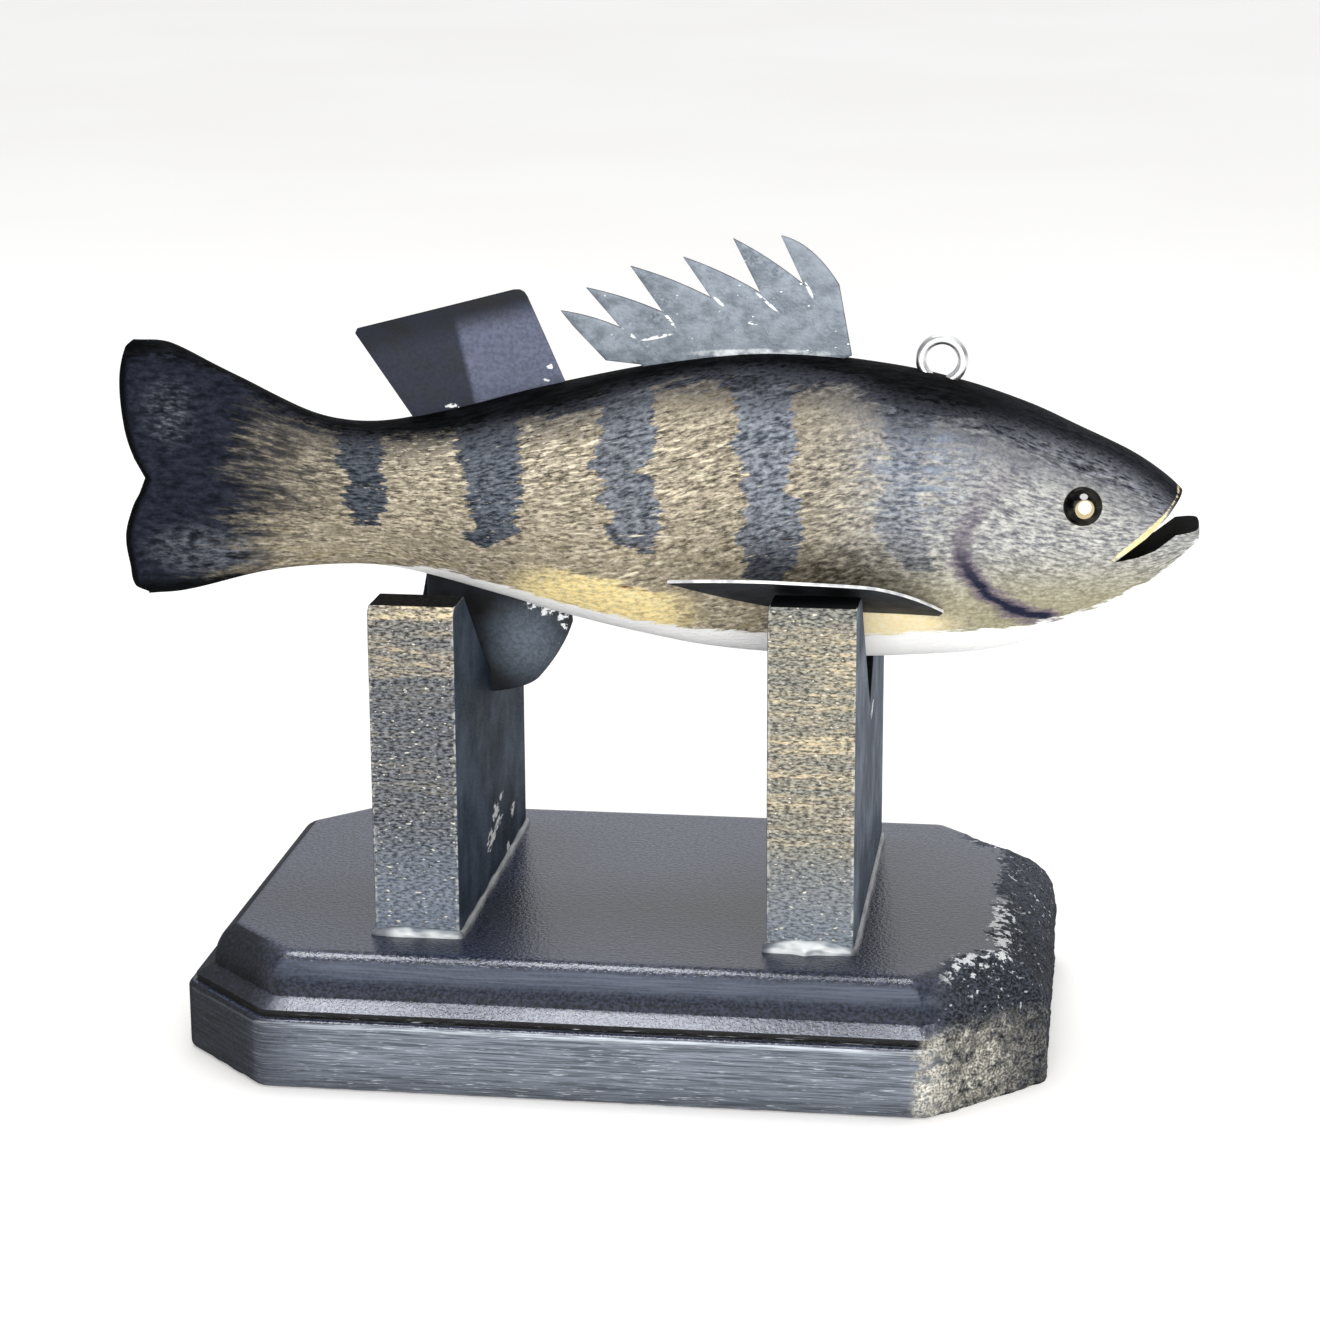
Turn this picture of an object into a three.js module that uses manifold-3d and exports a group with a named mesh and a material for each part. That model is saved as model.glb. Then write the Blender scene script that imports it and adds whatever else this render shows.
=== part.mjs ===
// Carved and painted perch decoy, lying in the notched uprights of its own stand.
// Millimetres, +Z up, nose towards +X. The origin is the centre of the plaque's underside.
import * as THREE from 'three';
import { mergeVertices } from 'three/addons/utils/BufferGeometryUtils.js';
import Module from 'manifold-3d';

const wasm = await Module();
wasm.setup();

// Plaque: a board with clipped corners and a routed edge
const plaqueLength = 190;
const plaqueWidth = 127;
const plaqueThickness = 28;
const rearCornerCut = 21.5;
const frontCornerCut = 24.5;
const arrisRadius = 1.4;
const landHeight = 16.4;
const landWidth = 1.0;
const quirkHeight = 2.2;
const coveWidth = 4.1;
const coveHeight = 1.8;
const roundWidth = 4.8;
const topStep = 0.7;
const topStepWidth = 0.6;

// Uprights: two boards on edge, each with a notch in its top
const postThickness = 19;
const postDepth = 82;
const rearPostHeight = 74;
const frontPostHeight = 76.2;
const rearPostX = -42.8;
const frontPostX = 43.4;
const notchHalfWidth = 29;
const frontNotchDepth = 32.4;
const notchTipRadius = 1.2;
const postCornerRadius = 1.5;
const glueLine = 0.05;

// Fish: its own frame has x from the tail's end, z from its axis, and its left side at +y
const fishLength = 240.8;
const fishDepth = 66.8;
const fishThickness = 38;
const tailOverhang = 74.2;
const ovalPower = 2.2;
const tailSquareness = 1.2;
const tailEndShare = 0.55;
const tailEndRadius = 2;
const forkReach = 21.7;
const noseEndShare = 0.7;
const noseRadius = 4;
const gap = 0.3;
const sectionSteps = 32;
const lengthSteps = 60;

// Sheet metal fins, each held by a tongue in a sawn slot
const sheet = 0.8;
const tongueDepth = 5;
const tongueRise = 2;
const pectoralTilt = THREE.MathUtils.degToRad(27.5);
const spinyLength = 63.9;
const spinyTongue = 29;
const softLength = 47.3;
const softTongue = 24;
const analLength = 33.6;
const analTongue = 23;
const pectoralLength = 57.9;
const pectoralTongue = 26;

// Glass eyes and the screw eye for the line
const eyeRadius = 4.25;
const eyeDome = 2.3;
const eyeSeat = 1.5;
const ringRadius = 4.55;
const ringWire = 2.35;
const ringSink = 2.4;
const shankLength = 8;
const shankBend = [[0, 3.4], [0.15, 2], [0.7, 0.75]];
const loopStart = THREE.MathUtils.degToRad(-58);
const loopEnd = THREE.MathUtils.degToRad(243);

// Carving, as shares of the fish's length (x) and depth (z): back and belly lines, the level
// where it is widest, half thickness, how far the tail's end stands in, and the mouth
const backLine = [
  [0, 0.508], [0.05, 0.497], [0.115, 0.385], [0.187, 0.268], [0.243, 0.2455], [0.313, 0.293],
  [0.421, 0.394], [0.542, 0.479], [0.631, 0.5], [0.743, 0.458], [0.827, 0.376],
  [0.928, 0.221], [0.96, 0.153], [0.984, 0.079], [0.995, 0.014], [1, -0.03],
];
const bellyLine = [
  [0, -0.368], [0.053, -0.349], [0.15, -0.265], [0.228, -0.24], [0.289, -0.265],
  [0.425, -0.392], [0.519, -0.464], [0.623, -0.499], [0.739, -0.496], [0.833, -0.452],
  [0.908, -0.338], [0.955, -0.246], [0.989, -0.129], [1, -0.075],
];
const widestLine = [[0, 0.039], [0.2, 0.02], [0.45, 0], [0.8, -0.01], [0.93, -0.03], [1, -0.052]];
const thicknessLine = [
  [0, 0.13], [0.05, 0.17], [0.15, 0.31], [0.243, 0.45], [0.332, 0.66], [0.436, 0.87],
  [0.54, 0.985], [0.631, 1], [0.739, 0.96], [0.831, 0.83], [0.893, 0.69], [0.947, 0.55],
  [0.98, 0.49], [1, 0.46],
];
const tailNotch = [
  [-0.36, 0.019], [-0.34, 0.007], [-0.27, 0.003], [-0.165, 0], [-0.063, 0.008], [0.039, 0.0215],
  [0.105, 0.0115], [0.205, 0.0033], [0.37, 0.0004], [0.482, 0.007], [0.51, 0.015],
];
const mouthLine = [
  [0.9253, -0.132], [0.9465, -0.116], [0.961, -0.094], [0.979, -0.041], [1.02, -0.016],
];
const lipLine = [[0.9253, -0.132], [0.9531, -0.054], [0.9718, 0.0176], [0.984, 0.079]];
const spinyShare = 0.577;
const softShare = 0.349;
const analShare = 0.349;
const pectoralPlace = [0.698, -0.295];
const eyePlace = [0.896, 0.057];
const ringShare = 0.766;

// In hundredths of the fin's length: how full a spine's front edge is, how low the anal fin hangs
const spineFullness = 1.4;
const analDropShare = 72.3;

// Values that follow from those above
const roundHeight = plaqueThickness - topStep - landHeight - quirkHeight - coveHeight;
const routedWidth = arrisRadius + landWidth + coveWidth + roundWidth + topStepWidth;
const cornerLoss = 2 - Math.SQRT2;
const frontPostTop = plaqueThickness + glueLine + frontPostHeight;
const pectoralX = pectoralPlace[0] * fishLength;
const pectoralZ = pectoralPlace[1] * fishDepth;
const pectoralY = flank(pectoralX, pectoralZ);
const finUnderside = sheet / 2 / Math.cos(pectoralTilt);
const fishAxisHeight = frontPostTop + gap + finUnderside - pectoralZ
  - (notchHalfWidth - pectoralY) * Math.tan(pectoralTilt);
const analX = analShare * fishLength;
const rearNotchBottom = fishAxisHeight + bellyAt(analX) - analDropShare / 100 * analLength - gap;

const blackPaint = new THREE.MeshStandardMaterial({ color: 0x2b2c31, roughness: 0.6, metalness: 0 });
const wornPaint = new THREE.MeshStandardMaterial({ color: 0x4a4a48, roughness: 0.7, metalness: 0 });
const fishPaint = new THREE.MeshStandardMaterial({ color: 0x7b6f4c, roughness: 0.5, metalness: 0 });
const blackFin = new THREE.MeshStandardMaterial({ color: 0x2d3038, roughness: 0.45, metalness: 0.2 });
const zincSheet = new THREE.MeshStandardMaterial({ color: 0x8b929a, roughness: 0.4, metalness: 0.8 });
const eyeGlass = new THREE.MeshStandardMaterial({ color: 0x101010, roughness: 0.08, metalness: 0 });
const platedWire = new THREE.MeshStandardMaterial({ color: 0xd6d8da, roughness: 0.25, metalness: 1 });

function signedVolume(positions, triangles) {
  const a = new THREE.Vector3();
  const b = new THREE.Vector3();
  const c = new THREE.Vector3();
  let sum = 0;
  for (let i = 0; i < triangles.length; i += 3) {
    a.fromArray(positions, triangles[i] * 3);
    b.fromArray(positions, triangles[i + 1] * 3);
    c.fromArray(positions, triangles[i + 2] * 3);
    sum += a.dot(b.cross(c)) / 6;
  }
  return sum;
}

// A closed geometry as a solid, with shared corners merged and faces pointing out
function solid(geometry) {
  const bare = geometry.clone();
  bare.deleteAttribute('normal');
  bare.deleteAttribute('uv');
  const merged = mergeVertices(bare, 1e-4);
  const vertProperties = Float32Array.from(merged.attributes.position.array);
  const triVerts = Uint32Array.from(merged.index.array);
  if (signedVolume(vertProperties, triVerts) < 0) {
    for (let i = 0; i < triVerts.length; i += 3) {
      [triVerts[i], triVerts[i + 1]] = [triVerts[i + 1], triVerts[i]];
    }
  }
  return new wasm.Manifold(new wasm.Mesh({ numProp: 3, vertProperties, triVerts }));
}

function piece(name, manifold, material) {
  const { vertProperties, triVerts } = manifold.getMesh();
  const geometry = new THREE.BufferGeometry();
  geometry.setAttribute('position', new THREE.BufferAttribute(Float32Array.from(vertProperties), 3));
  geometry.setIndex(new THREE.BufferAttribute(Uint32Array.from(triVerts), 1));
  geometry.computeVertexNormals();
  const mesh = new THREE.Mesh(geometry, material);
  mesh.name = name;
  return mesh;
}

// Rings of equally many points joined by quads, with a flat cap at each end
function ringsToGeometry(rings, capPairs) {
  const count = rings[0].length;
  const triangles = [];
  for (let i = 0; i < rings.length - 1; i += 1) {
    for (let j = 0; j < count; j += 1) {
      const near = i * count + j;
      const next = i * count + ((j + 1) % count);
      triangles.push(near, next, near + count, next, next + count, near + count);
    }
  }
  const last = (rings.length - 1) * count;
  for (const [a, b, c] of capPairs(count)) {
    triangles.push(c, b, a, last + a, last + b, last + c);
  }
  const geometry = new THREE.BufferGeometry();
  geometry.setAttribute('position', new THREE.Float32BufferAttribute(rings.flat(2), 3));
  geometry.setIndex(triangles);
  return geometry;
}

// A cap for a ring whose points j and count - j lie opposite each other
function mirroredCap(count) {
  const triangles = [];
  for (let j = 0; j < count / 2; j += 1) {
    const across = (count - j) % count;
    const lower = count - j - 1;
    if (j > 0) {
      triangles.push([across, j, j + 1]);
    }
    if (j < count / 2 - 1) {
      triangles.push([across, j + 1, lower]);
    }
  }
  return triangles;
}

function fanCap(count) {
  return Array.from({ length: count - 2 }, (_, j) => [0, j + 1, j + 2]);
}

// A smooth line through points, read at one x: a cubic with slopes set by its neighbours
function readLine(points, x) {
  const last = points.length - 2;
  let i = 0;
  while (i < last && x > points[i + 1][0]) {
    i += 1;
  }
  const slope = (k) => {
    const before = points[Math.max(k - 1, 0)];
    const after = points[Math.min(k + 1, points.length - 1)];
    return (after[1] - before[1]) / (after[0] - before[0]);
  };
  const [x0, y0] = points[i];
  const [x1, y1] = points[i + 1];
  const run = x1 - x0;
  const t = THREE.MathUtils.clamp((x - x0) / run, 0, 1);
  const ease = t * t * (3 - 2 * t);
  return y0 + (y1 - y0) * ease + run * t * (1 - t) * (slope(i) * (1 - t) - slope(i + 1) * t);
}

// Plaque

// Clipped rectangle drawn in from the plaque's outline by inset
function plaqueRing(inset, z) {
  const x = plaqueLength / 2 - inset;
  const y = plaqueWidth / 2 - inset;
  const rear = rearCornerCut - inset * cornerLoss;
  const front = frontCornerCut - inset * cornerLoss;
  return [
    [x, -y + front, z], [x, y - front, z], [x - front, y, z], [-x + rear, y, z],
    [-x, y - rear, z], [-x, -y + rear, z], [-x + rear, -y, z], [x - front, -y, z],
  ];
}

// Inset and height along the routed edge: arris, land, quirk, cove, round and top step
function routedEdge() {
  const edge = [[0, 0]];
  const steps = 4;
  const coveInset = arrisRadius + landWidth;
  const coveBottom = landHeight + quirkHeight;
  const roundInset = coveInset + coveWidth;
  const roundBottom = coveBottom + coveHeight;
  for (let i = 0; i <= steps; i += 1) {
    const turn = (i / steps) * Math.PI / 2;
    edge.push([arrisRadius * (1 - Math.cos(turn)), landHeight - arrisRadius * (1 - Math.sin(turn))]);
  }
  edge.push([coveInset, landHeight]);
  for (let i = 0; i <= steps; i += 1) {
    const turn = (i / steps) * Math.PI / 2;
    edge.push([coveInset + coveWidth * Math.sin(turn), coveBottom + coveHeight * (1 - Math.cos(turn))]);
  }
  for (let i = 1; i <= steps + 1; i += 1) {
    const turn = (i / (steps + 1)) * Math.PI / 2;
    edge.push([roundInset + roundWidth * (1 - Math.cos(turn)), roundBottom + roundHeight * Math.sin(turn)]);
  }
  edge.push([routedWidth, plaqueThickness - topStep]);
  edge.push([routedWidth, plaqueThickness]);
  return edge;
}

function plaque() {
  const rings = routedEdge().map(([inset, z]) => plaqueRing(inset, z));
  return solid(ringsToGeometry(rings, fanCap));
}

// Uprights

// Board on edge, seen along the fish: notch walls run straight down to a small round
function upright(height, notchBottom) {
  const half = postDepth / 2;
  const foot = plaqueThickness + glueLine;
  const top = foot + height;
  const outline = new THREE.Shape();
  const slope = Math.atan2(notchHalfWidth, top - notchBottom);
  const tipY = notchTipRadius * Math.cos(slope);
  const tipRise = tipY / Math.tan(slope);
  const tipZ = notchBottom + tipRise / 2;
  outline.moveTo(-half, foot);
  outline.lineTo(half, foot);
  outline.lineTo(half, top - postCornerRadius);
  outline.absarc(half - postCornerRadius, top - postCornerRadius, postCornerRadius, 0, Math.PI / 2, false);
  outline.lineTo(notchHalfWidth, top);
  outline.lineTo(tipY, tipZ);
  outline.quadraticCurveTo(0, notchBottom - tipRise / 2, -tipY, tipZ);
  outline.lineTo(-notchHalfWidth, top);
  outline.lineTo(-half + postCornerRadius, top);
  outline.absarc(-half + postCornerRadius, top - postCornerRadius, postCornerRadius,
    Math.PI / 2, Math.PI, false);
  const board = new THREE.ExtrudeGeometry(outline, {
    depth: postThickness, bevelEnabled: false, curveSegments: 5,
  });
  board.translate(0, 0, -postThickness / 2);
  board.applyMatrix4(new THREE.Matrix4().makeBasis(
    new THREE.Vector3(0, 1, 0), new THREE.Vector3(0, 0, 1), new THREE.Vector3(1, 0, 0)));
  return solid(board);
}

// Fish body

function backAt(x) {
  return readLine(backLine, THREE.MathUtils.clamp(x / fishLength, 0, 1)) * fishDepth;
}

function bellyAt(x) {
  return readLine(bellyLine, THREE.MathUtils.clamp(x / fishLength, 0, 1)) * fishDepth;
}

// Thins the body at its very end: a quarter round from the end's thinness up to full
function endRounding(reach, thinness) {
  const away = 1 - THREE.MathUtils.clamp(reach, 0, 1);
  return thinness + (1 - thinness) * Math.sqrt(1 - away ** 2);
}

// Top, bottom, widest level and half thickness of the body at x, each let out by grow
function sectionAt(x, grow) {
  const share = THREE.MathUtils.clamp(x / fishLength, 0, 1);
  const half = readLine(thicknessLine, share) * fishThickness / 2
    * endRounding(x / tailEndRadius, tailEndShare)
    * endRounding((fishLength - x) / noseRadius, noseEndShare);
  return {
    top: backAt(x) + grow,
    bottom: bellyAt(x) - grow,
    widest: readLine(widestLine, share) * fishDepth,
    half: half + grow,
  };
}

// How far the body's side stands from its middle plane at x and height z
function flank(x, z) {
  const { top, bottom, widest, half } = sectionAt(x, 0);
  const up = z > widest ? (z - widest) / (top - widest) : (widest - z) / (widest - bottom);
  return half * (1 - Math.min(up, 1) ** ovalPower) ** (1 / ovalPower);
}

// The body is a row of oval rings, closest together at the tail and nose. The tail's
// rings are pushed forward by the forked end's outline, which fades out along the tail.
function body(grow) {
  const rings = [];
  for (let i = 0; i <= lengthSteps; i += 1) {
    const x = fishLength * (1 - Math.cos(Math.PI * i / lengthSteps)) / 2;
    const { top, bottom, widest, half } = sectionAt(x, grow);
    const fade = Math.max(0, 1 - x / forkReach) ** 2;
    const power = 2 / (ovalPower + tailSquareness * Math.max(0, 1 - x / (3 * forkReach)));
    const ring = [];
    for (let j = 0; j < sectionSteps; j += 1) {
      const turn = Math.PI / 2 + 2 * Math.PI * j / sectionSteps;
      const up = Math.sign(Math.sin(turn)) * Math.abs(Math.sin(turn)) ** power;
      const side = Math.sign(Math.cos(turn)) * Math.abs(Math.cos(turn)) ** power;
      const z = widest + up * (up > 0 ? top - widest : widest - bottom);
      const end = readLine(tailNotch, z / fishDepth) * fishLength;
      const grownX = x + grow * (2 * x / fishLength - 1);
      ring.push([grownX + end * fade, side * half, z]);
    }
    rings.push(ring);
  }
  return solid(ringsToGeometry(rings, mirroredCap));
}

// The mouth is one wedge cut across the head, from its corner to past the jaws
function mouthCut() {
  const toMm = ([x, z]) => new THREE.Vector2(x * fishLength, z * fishDepth);
  const lower = mouthLine.map(toMm);
  const upper = lipLine.slice(1).map(toMm).reverse();
  const [tip, bend] = upper;
  const past = tip.clone().sub(bend).multiplyScalar(3).add(bend);
  const reach = new THREE.Vector2(past.x + fishThickness, past.y);
  const end = new THREE.Vector2(reach.x, lower.at(-1).y);
  const across = new THREE.Matrix4().makeBasis(
    new THREE.Vector3(1, 0, 0), new THREE.Vector3(0, 0, 1), new THREE.Vector3(0, -1, 0));
  return placedPlate(new THREE.Shape([...lower, end, reach, past, ...upper]), fishThickness * 2, across);
}

// Sheet fins

// The fins' outlines are drawn in hundredths of the fin's length, from its place on the fish.
// The first has six spines raked back, each with a straight rear edge and a full front edge.
function spinyOutline() {
  const tips = [[-50.9, 22.5], [-35.5, 30.2], [-17.4, 33.6], [-0.3, 40.1], [16, 41.2]];
  const roots = [[-39, 8.8], [-24.3, 14.4], [-7.8, 19.7], [9.1, 21.6], [23.9, 24.6]];
  const rearTip = [-59.9, 14.4];
  const outline = new THREE.Shape();
  outline.moveTo(-44.3, -2.7);
  outline.lineTo(-55.7, 9.2);
  outline.lineTo(...rearTip);
  let from = rearTip;
  roots.forEach((root, k) => {
    const middle = [(from[0] + root[0] + spineFullness) / 2, (from[1] + root[1]) / 2 + spineFullness];
    outline.quadraticCurveTo(...middle, ...root);
    outline.lineTo(...tips[k]);
    from = tips[k];
  });
  outline.bezierCurveTo(24.3, 39.4, 30.5, 33.2, 36, 24.7);
  outline.quadraticCurveTo(37.9, 14.4, 40.1, 2.8);
  outline.lineTo(28.2, -4.4);
  outline.lineTo(-28.2, -9.1);
  outline.lineTo(-32.1, -3.9);
  return outline;
}

function softOutline() {
  const outline = new THREE.Shape();
  outline.moveTo(-35.5, -9.3);
  outline.lineTo(-62.6, 30.7);
  outline.quadraticCurveTo(-63.6, 32.3, -61.5, 33);
  outline.lineTo(13.1, 52.4);
  outline.quadraticCurveTo(17.8, 53.3, 19.5, 49.3);
  outline.lineTo(36.8, 9.9);
  outline.lineTo(29.6, -8);
  outline.lineTo(-21.1, -18.6);
  return outline;
}

function analOutline() {
  const outline = new THREE.Shape();
  outline.moveTo(-42.9, 14.6);
  outline.lineTo(-44.6, -49.4);
  outline.quadraticCurveTo(-44.6, -analDropShare, -26.8, -analDropShare);
  outline.bezierCurveTo(0, -analDropShare, 22.3, -68.8, 31.5, -60.4);
  outline.bezierCurveTo(40.2, -50.9, 50.6, -36, 55.4, -20.2);
  outline.lineTo(54.2, -9.2);
  outline.lineTo(35.7, 4.2);
  outline.lineTo(-29.8, 25);
  return outline;
}

// Leaf outline of a pectoral fin: x along the fish, y out from the root
function pectoralOutline() {
  const outline = new THREE.Shape();
  outline.moveTo(-27.6, -6);
  outline.lineTo(-30.2, 1.7);
  outline.bezierCurveTo(-39.7, 7.8, -54.4, 19, -68, 35.8);
  outline.bezierCurveTo(-55.3, 38.7, -41.5, 40.1, -29.4, 39.6);
  outline.bezierCurveTo(-13.8, 38, 0, 37.3, 7.8, 34.5);
  outline.bezierCurveTo(18.1, 28.5, 25.9, 15.5, 32, 1.7);
  outline.lineTo(29.4, -6);
  return outline;
}

// A plate of the outline, its middle plane laid in the given place
function placedPlate(outline, thickness, place) {
  const plate = new THREE.ExtrudeGeometry(outline, {
    depth: thickness, bevelEnabled: false, curveSegments: 6,
  });
  plate.translate(0, 0, -thickness / 2);
  plate.applyMatrix4(place);
  return solid(plate);
}

// A fin's showing part stops just clear of the wood; only its tongue goes in the slot
function finAndSlot(outline, length, tongue, place) {
  const drawn = place.clone().scale(new THREE.Vector3(length / 100, length / 100, 1));
  const grown = tongue.map(([x, y, outX, outY]) => new THREE.Vector2(x + outX * gap, y + outY * gap));
  const bare = tongue.map(([x, y]) => new THREE.Vector2(x, y));
  const showing = placedPlate(outline, sheet, drawn).subtract(body(gap));
  return {
    fin: showing.add(placedPlate(new THREE.Shape(bare), sheet, place)),
    slot: placedPlate(new THREE.Shape(grown), sheet + 2 * gap, place),
  };
}

// A fin in the fish's middle plane: its tongue runs along the back or belly line
function middleFin(outline, length, x, lineAt, tongueLength, into) {
  const place = new THREE.Matrix4().makeBasis(
    new THREE.Vector3(1, 0, 0), new THREE.Vector3(0, 0, 1), new THREE.Vector3(0, -1, 0),
  ).setPosition(x, 0, lineAt(x));
  const half = tongueLength / 2;
  const reach = into * tongueDepth;
  const rear = lineAt(x - half) - lineAt(x);
  const front = lineAt(x + half) - lineAt(x);
  const tongue = [
    [-half, rear - into * tongueRise, -1, 0], [half, front - into * tongueRise, 1, 0],
    [half, front + reach, 1, into], [-half, rear + reach, -1, into],
  ];
  return finAndSlot(outline, length, tongue, place);
}

// A pectoral fin leans out and up from the lower flank; side is -1 on the right
function pectoral(side) {
  const place = new THREE.Matrix4().makeBasis(
    new THREE.Vector3(1, 0, 0),
    new THREE.Vector3(0, side * Math.cos(pectoralTilt), Math.sin(pectoralTilt)),
    new THREE.Vector3(0, -side * Math.sin(pectoralTilt), Math.cos(pectoralTilt)),
  ).setPosition(pectoralX, side * pectoralY, pectoralZ);
  const half = pectoralTongue / 2;
  const tongue = [
    [-half, tongueRise, -1, 0], [half, tongueRise, 1, 0],
    [half, -tongueDepth, 1, -1], [-half, -tongueDepth, -1, -1],
  ];
  return finAndSlot(pectoralOutline(), pectoralLength, tongue, place);
}

// Eyes and screw eye

// The place on the body's side where the eye's middle lies, and the way it looks
function eyeFrame(side) {
  const x = eyePlace[0] * fishLength;
  const z = eyePlace[1] * fishDepth;
  const step = 1;
  const slopeX = (flank(x + step, z) - flank(x - step, z)) / (2 * step);
  const slopeZ = (flank(x, z + step) - flank(x, z - step)) / (2 * step);
  const outward = new THREE.Vector3(-slopeX, side, -slopeZ).normalize();
  const turn = new THREE.Quaternion().setFromUnitVectors(new THREE.Vector3(0, 1, 0), outward);
  const place = new THREE.Vector3(x, side * flank(x, z), z);
  return new THREE.Matrix4().compose(place, turn, new THREE.Vector3(1, 1, 1));
}

function eyeSolid(side, grow) {
  const radius = eyeRadius + grow;
  const profile = [new THREE.Vector2(0, -eyeSeat - grow), new THREE.Vector2(radius, -eyeSeat - grow)];
  const steps = 5;
  for (let i = 0; i <= steps; i += 1) {
    const rise = (i / steps) * Math.PI / 2;
    profile.push(new THREE.Vector2(radius * Math.cos(rise), (eyeDome + grow) * Math.sin(rise)));
  }
  profile[profile.length - 1].x = 0;
  const dome = new THREE.LatheGeometry(profile, 24);
  dome.applyMatrix4(eyeFrame(side));
  return solid(dome);
}

// Round wire: up the shank, round the loop, and back to stop just short of the shank
class WirePath extends THREE.Curve {
  constructor(extra) {
    super();
    const bend = shankBend.map(([x, below]) => [x, -ringRadius - below]);
    const points = [[0, -ringRadius - shankLength - extra], ...bend];
    const steps = 22;
    const sweep = loopEnd - loopStart + extra / ringRadius;
    for (let i = 0; i <= steps; i += 1) {
      const turn = loopStart + sweep * i / steps;
      points.push([ringRadius * Math.cos(turn), ringRadius * Math.sin(turn)]);
    }
    this.line = new THREE.CatmullRomCurve3(points.map(([x, z]) => new THREE.Vector3(x, 0, z)));
  }

  getPoint(t, target = new THREE.Vector3()) {
    return this.line.getPoint(t, target);
  }
}

function screwEye(grow) {
  const wire = new THREE.Shape();
  wire.absarc(0, 0, ringWire / 2 + grow, 0, Math.PI * 2, false);
  const tube = new THREE.ExtrudeGeometry(wire, {
    steps: 44, curveSegments: 10, extrudePath: new WirePath(grow), bevelEnabled: false,
  });
  const x = ringShare * fishLength;
  tube.translate(x, 0, backAt(x) + ringRadius + ringWire / 2 - ringSink);
  return solid(tube);
}

// The whole

const decoy = new THREE.Group();

decoy.add(piece('base_plaque', plaque(), blackPaint));
const rearPost = piece('rear_post', upright(rearPostHeight, rearNotchBottom), wornPaint);
rearPost.position.x = rearPostX;
const frontPost = piece('front_post', upright(frontPostHeight, frontPostTop - frontNotchDepth), wornPaint);
frontPost.position.x = frontPostX;
decoy.add(rearPost, frontPost);

const fish = new THREE.Group();
fish.position.set(rearPostX - tailOverhang, 0, fishAxisHeight);
decoy.add(fish);

const spinyX = spinyShare * fishLength;
const softX = softShare * fishLength;
const spiny = middleFin(spinyOutline(), spinyLength, spinyX, backAt, spinyTongue, -1);
const soft = middleFin(softOutline(), softLength, softX, backAt, softTongue, -1);
const anal = middleFin(analOutline(), analLength, analX, bellyAt, analTongue, 1);
const right = pectoral(-1);
const left = pectoral(1);

const carved = [
  mouthCut(), spiny.slot, soft.slot, anal.slot, right.slot, left.slot,
  eyeSolid(-1, gap), eyeSolid(1, gap), screwEye(gap),
].reduce((wood, cut) => wood.subtract(cut), body(0));

fish.add(
  piece('fish_body', carved, fishPaint),
  piece('spiny_dorsal_fin', spiny.fin, zincSheet),
  piece('soft_dorsal_fin', soft.fin, blackFin),
  piece('anal_fin', anal.fin, blackFin),
  piece('pectoral_fin_right', right.fin, blackFin),
  piece('pectoral_fin_left', left.fin, blackFin),
  piece('eye_right', eyeSolid(-1, 0), eyeGlass),
  piece('eye_left', eyeSolid(1, 0), eyeGlass),
  piece('screw_eye', screwEye(0), platedWire),
);

export default decoy;
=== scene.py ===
# Carved perch decoy lying in its notched stand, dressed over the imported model
import math
import bmesh
import bpy
import numpy as np
from mathutils import Matrix, Vector
from mathutils.geometry import delaunay_2d_cdt


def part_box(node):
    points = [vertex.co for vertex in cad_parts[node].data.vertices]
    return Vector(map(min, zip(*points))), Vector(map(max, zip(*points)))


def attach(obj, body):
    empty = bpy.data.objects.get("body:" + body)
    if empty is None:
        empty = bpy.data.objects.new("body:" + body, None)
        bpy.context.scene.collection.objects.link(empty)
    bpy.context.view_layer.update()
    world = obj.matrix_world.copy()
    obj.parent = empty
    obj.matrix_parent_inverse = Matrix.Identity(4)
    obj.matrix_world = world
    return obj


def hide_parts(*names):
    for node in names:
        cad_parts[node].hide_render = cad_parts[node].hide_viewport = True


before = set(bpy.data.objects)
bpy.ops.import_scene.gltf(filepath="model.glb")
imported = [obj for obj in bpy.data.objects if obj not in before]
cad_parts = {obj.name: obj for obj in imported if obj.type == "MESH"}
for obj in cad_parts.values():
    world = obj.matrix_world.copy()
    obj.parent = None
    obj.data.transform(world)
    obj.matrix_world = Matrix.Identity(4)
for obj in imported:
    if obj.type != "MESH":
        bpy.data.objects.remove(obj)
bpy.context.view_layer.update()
scene = bpy.context.scene
mm = 0.001
smooth = {"interpolation_type": "SMOOTHSTEP"}
colours = {"data_type": "RGBA"}


# sRGB hex to the linear colour that a shader takes
def fromHex(code):
    channels = [int(code[i:i + 2], 16) / 255 for i in (0, 2, 4)]
    return [c / 12.92 if c <= 0.04045 else ((c + 0.055) / 1.055) ** 2.4 for c in channels] + [1.0]


# Adds one node with its settings. An input given a node or socket is linked, a hex string is a colour
def addNode(tree, kind, settings, inputs):
    node = tree.nodes.new("ShaderNode" + kind)
    for name, value in settings.items():
        setattr(node, name, value)
    for name, value in inputs.items():
        if isinstance(value, bpy.types.Node):
            value = next(socket for socket in value.outputs if socket.enabled)
        if isinstance(value, bpy.types.NodeSocket):
            tree.links.new(value, node.inputs[name])
        else:
            node.inputs[name].default_value = fromHex(value) if isinstance(value, str) else value
    return node


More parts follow.
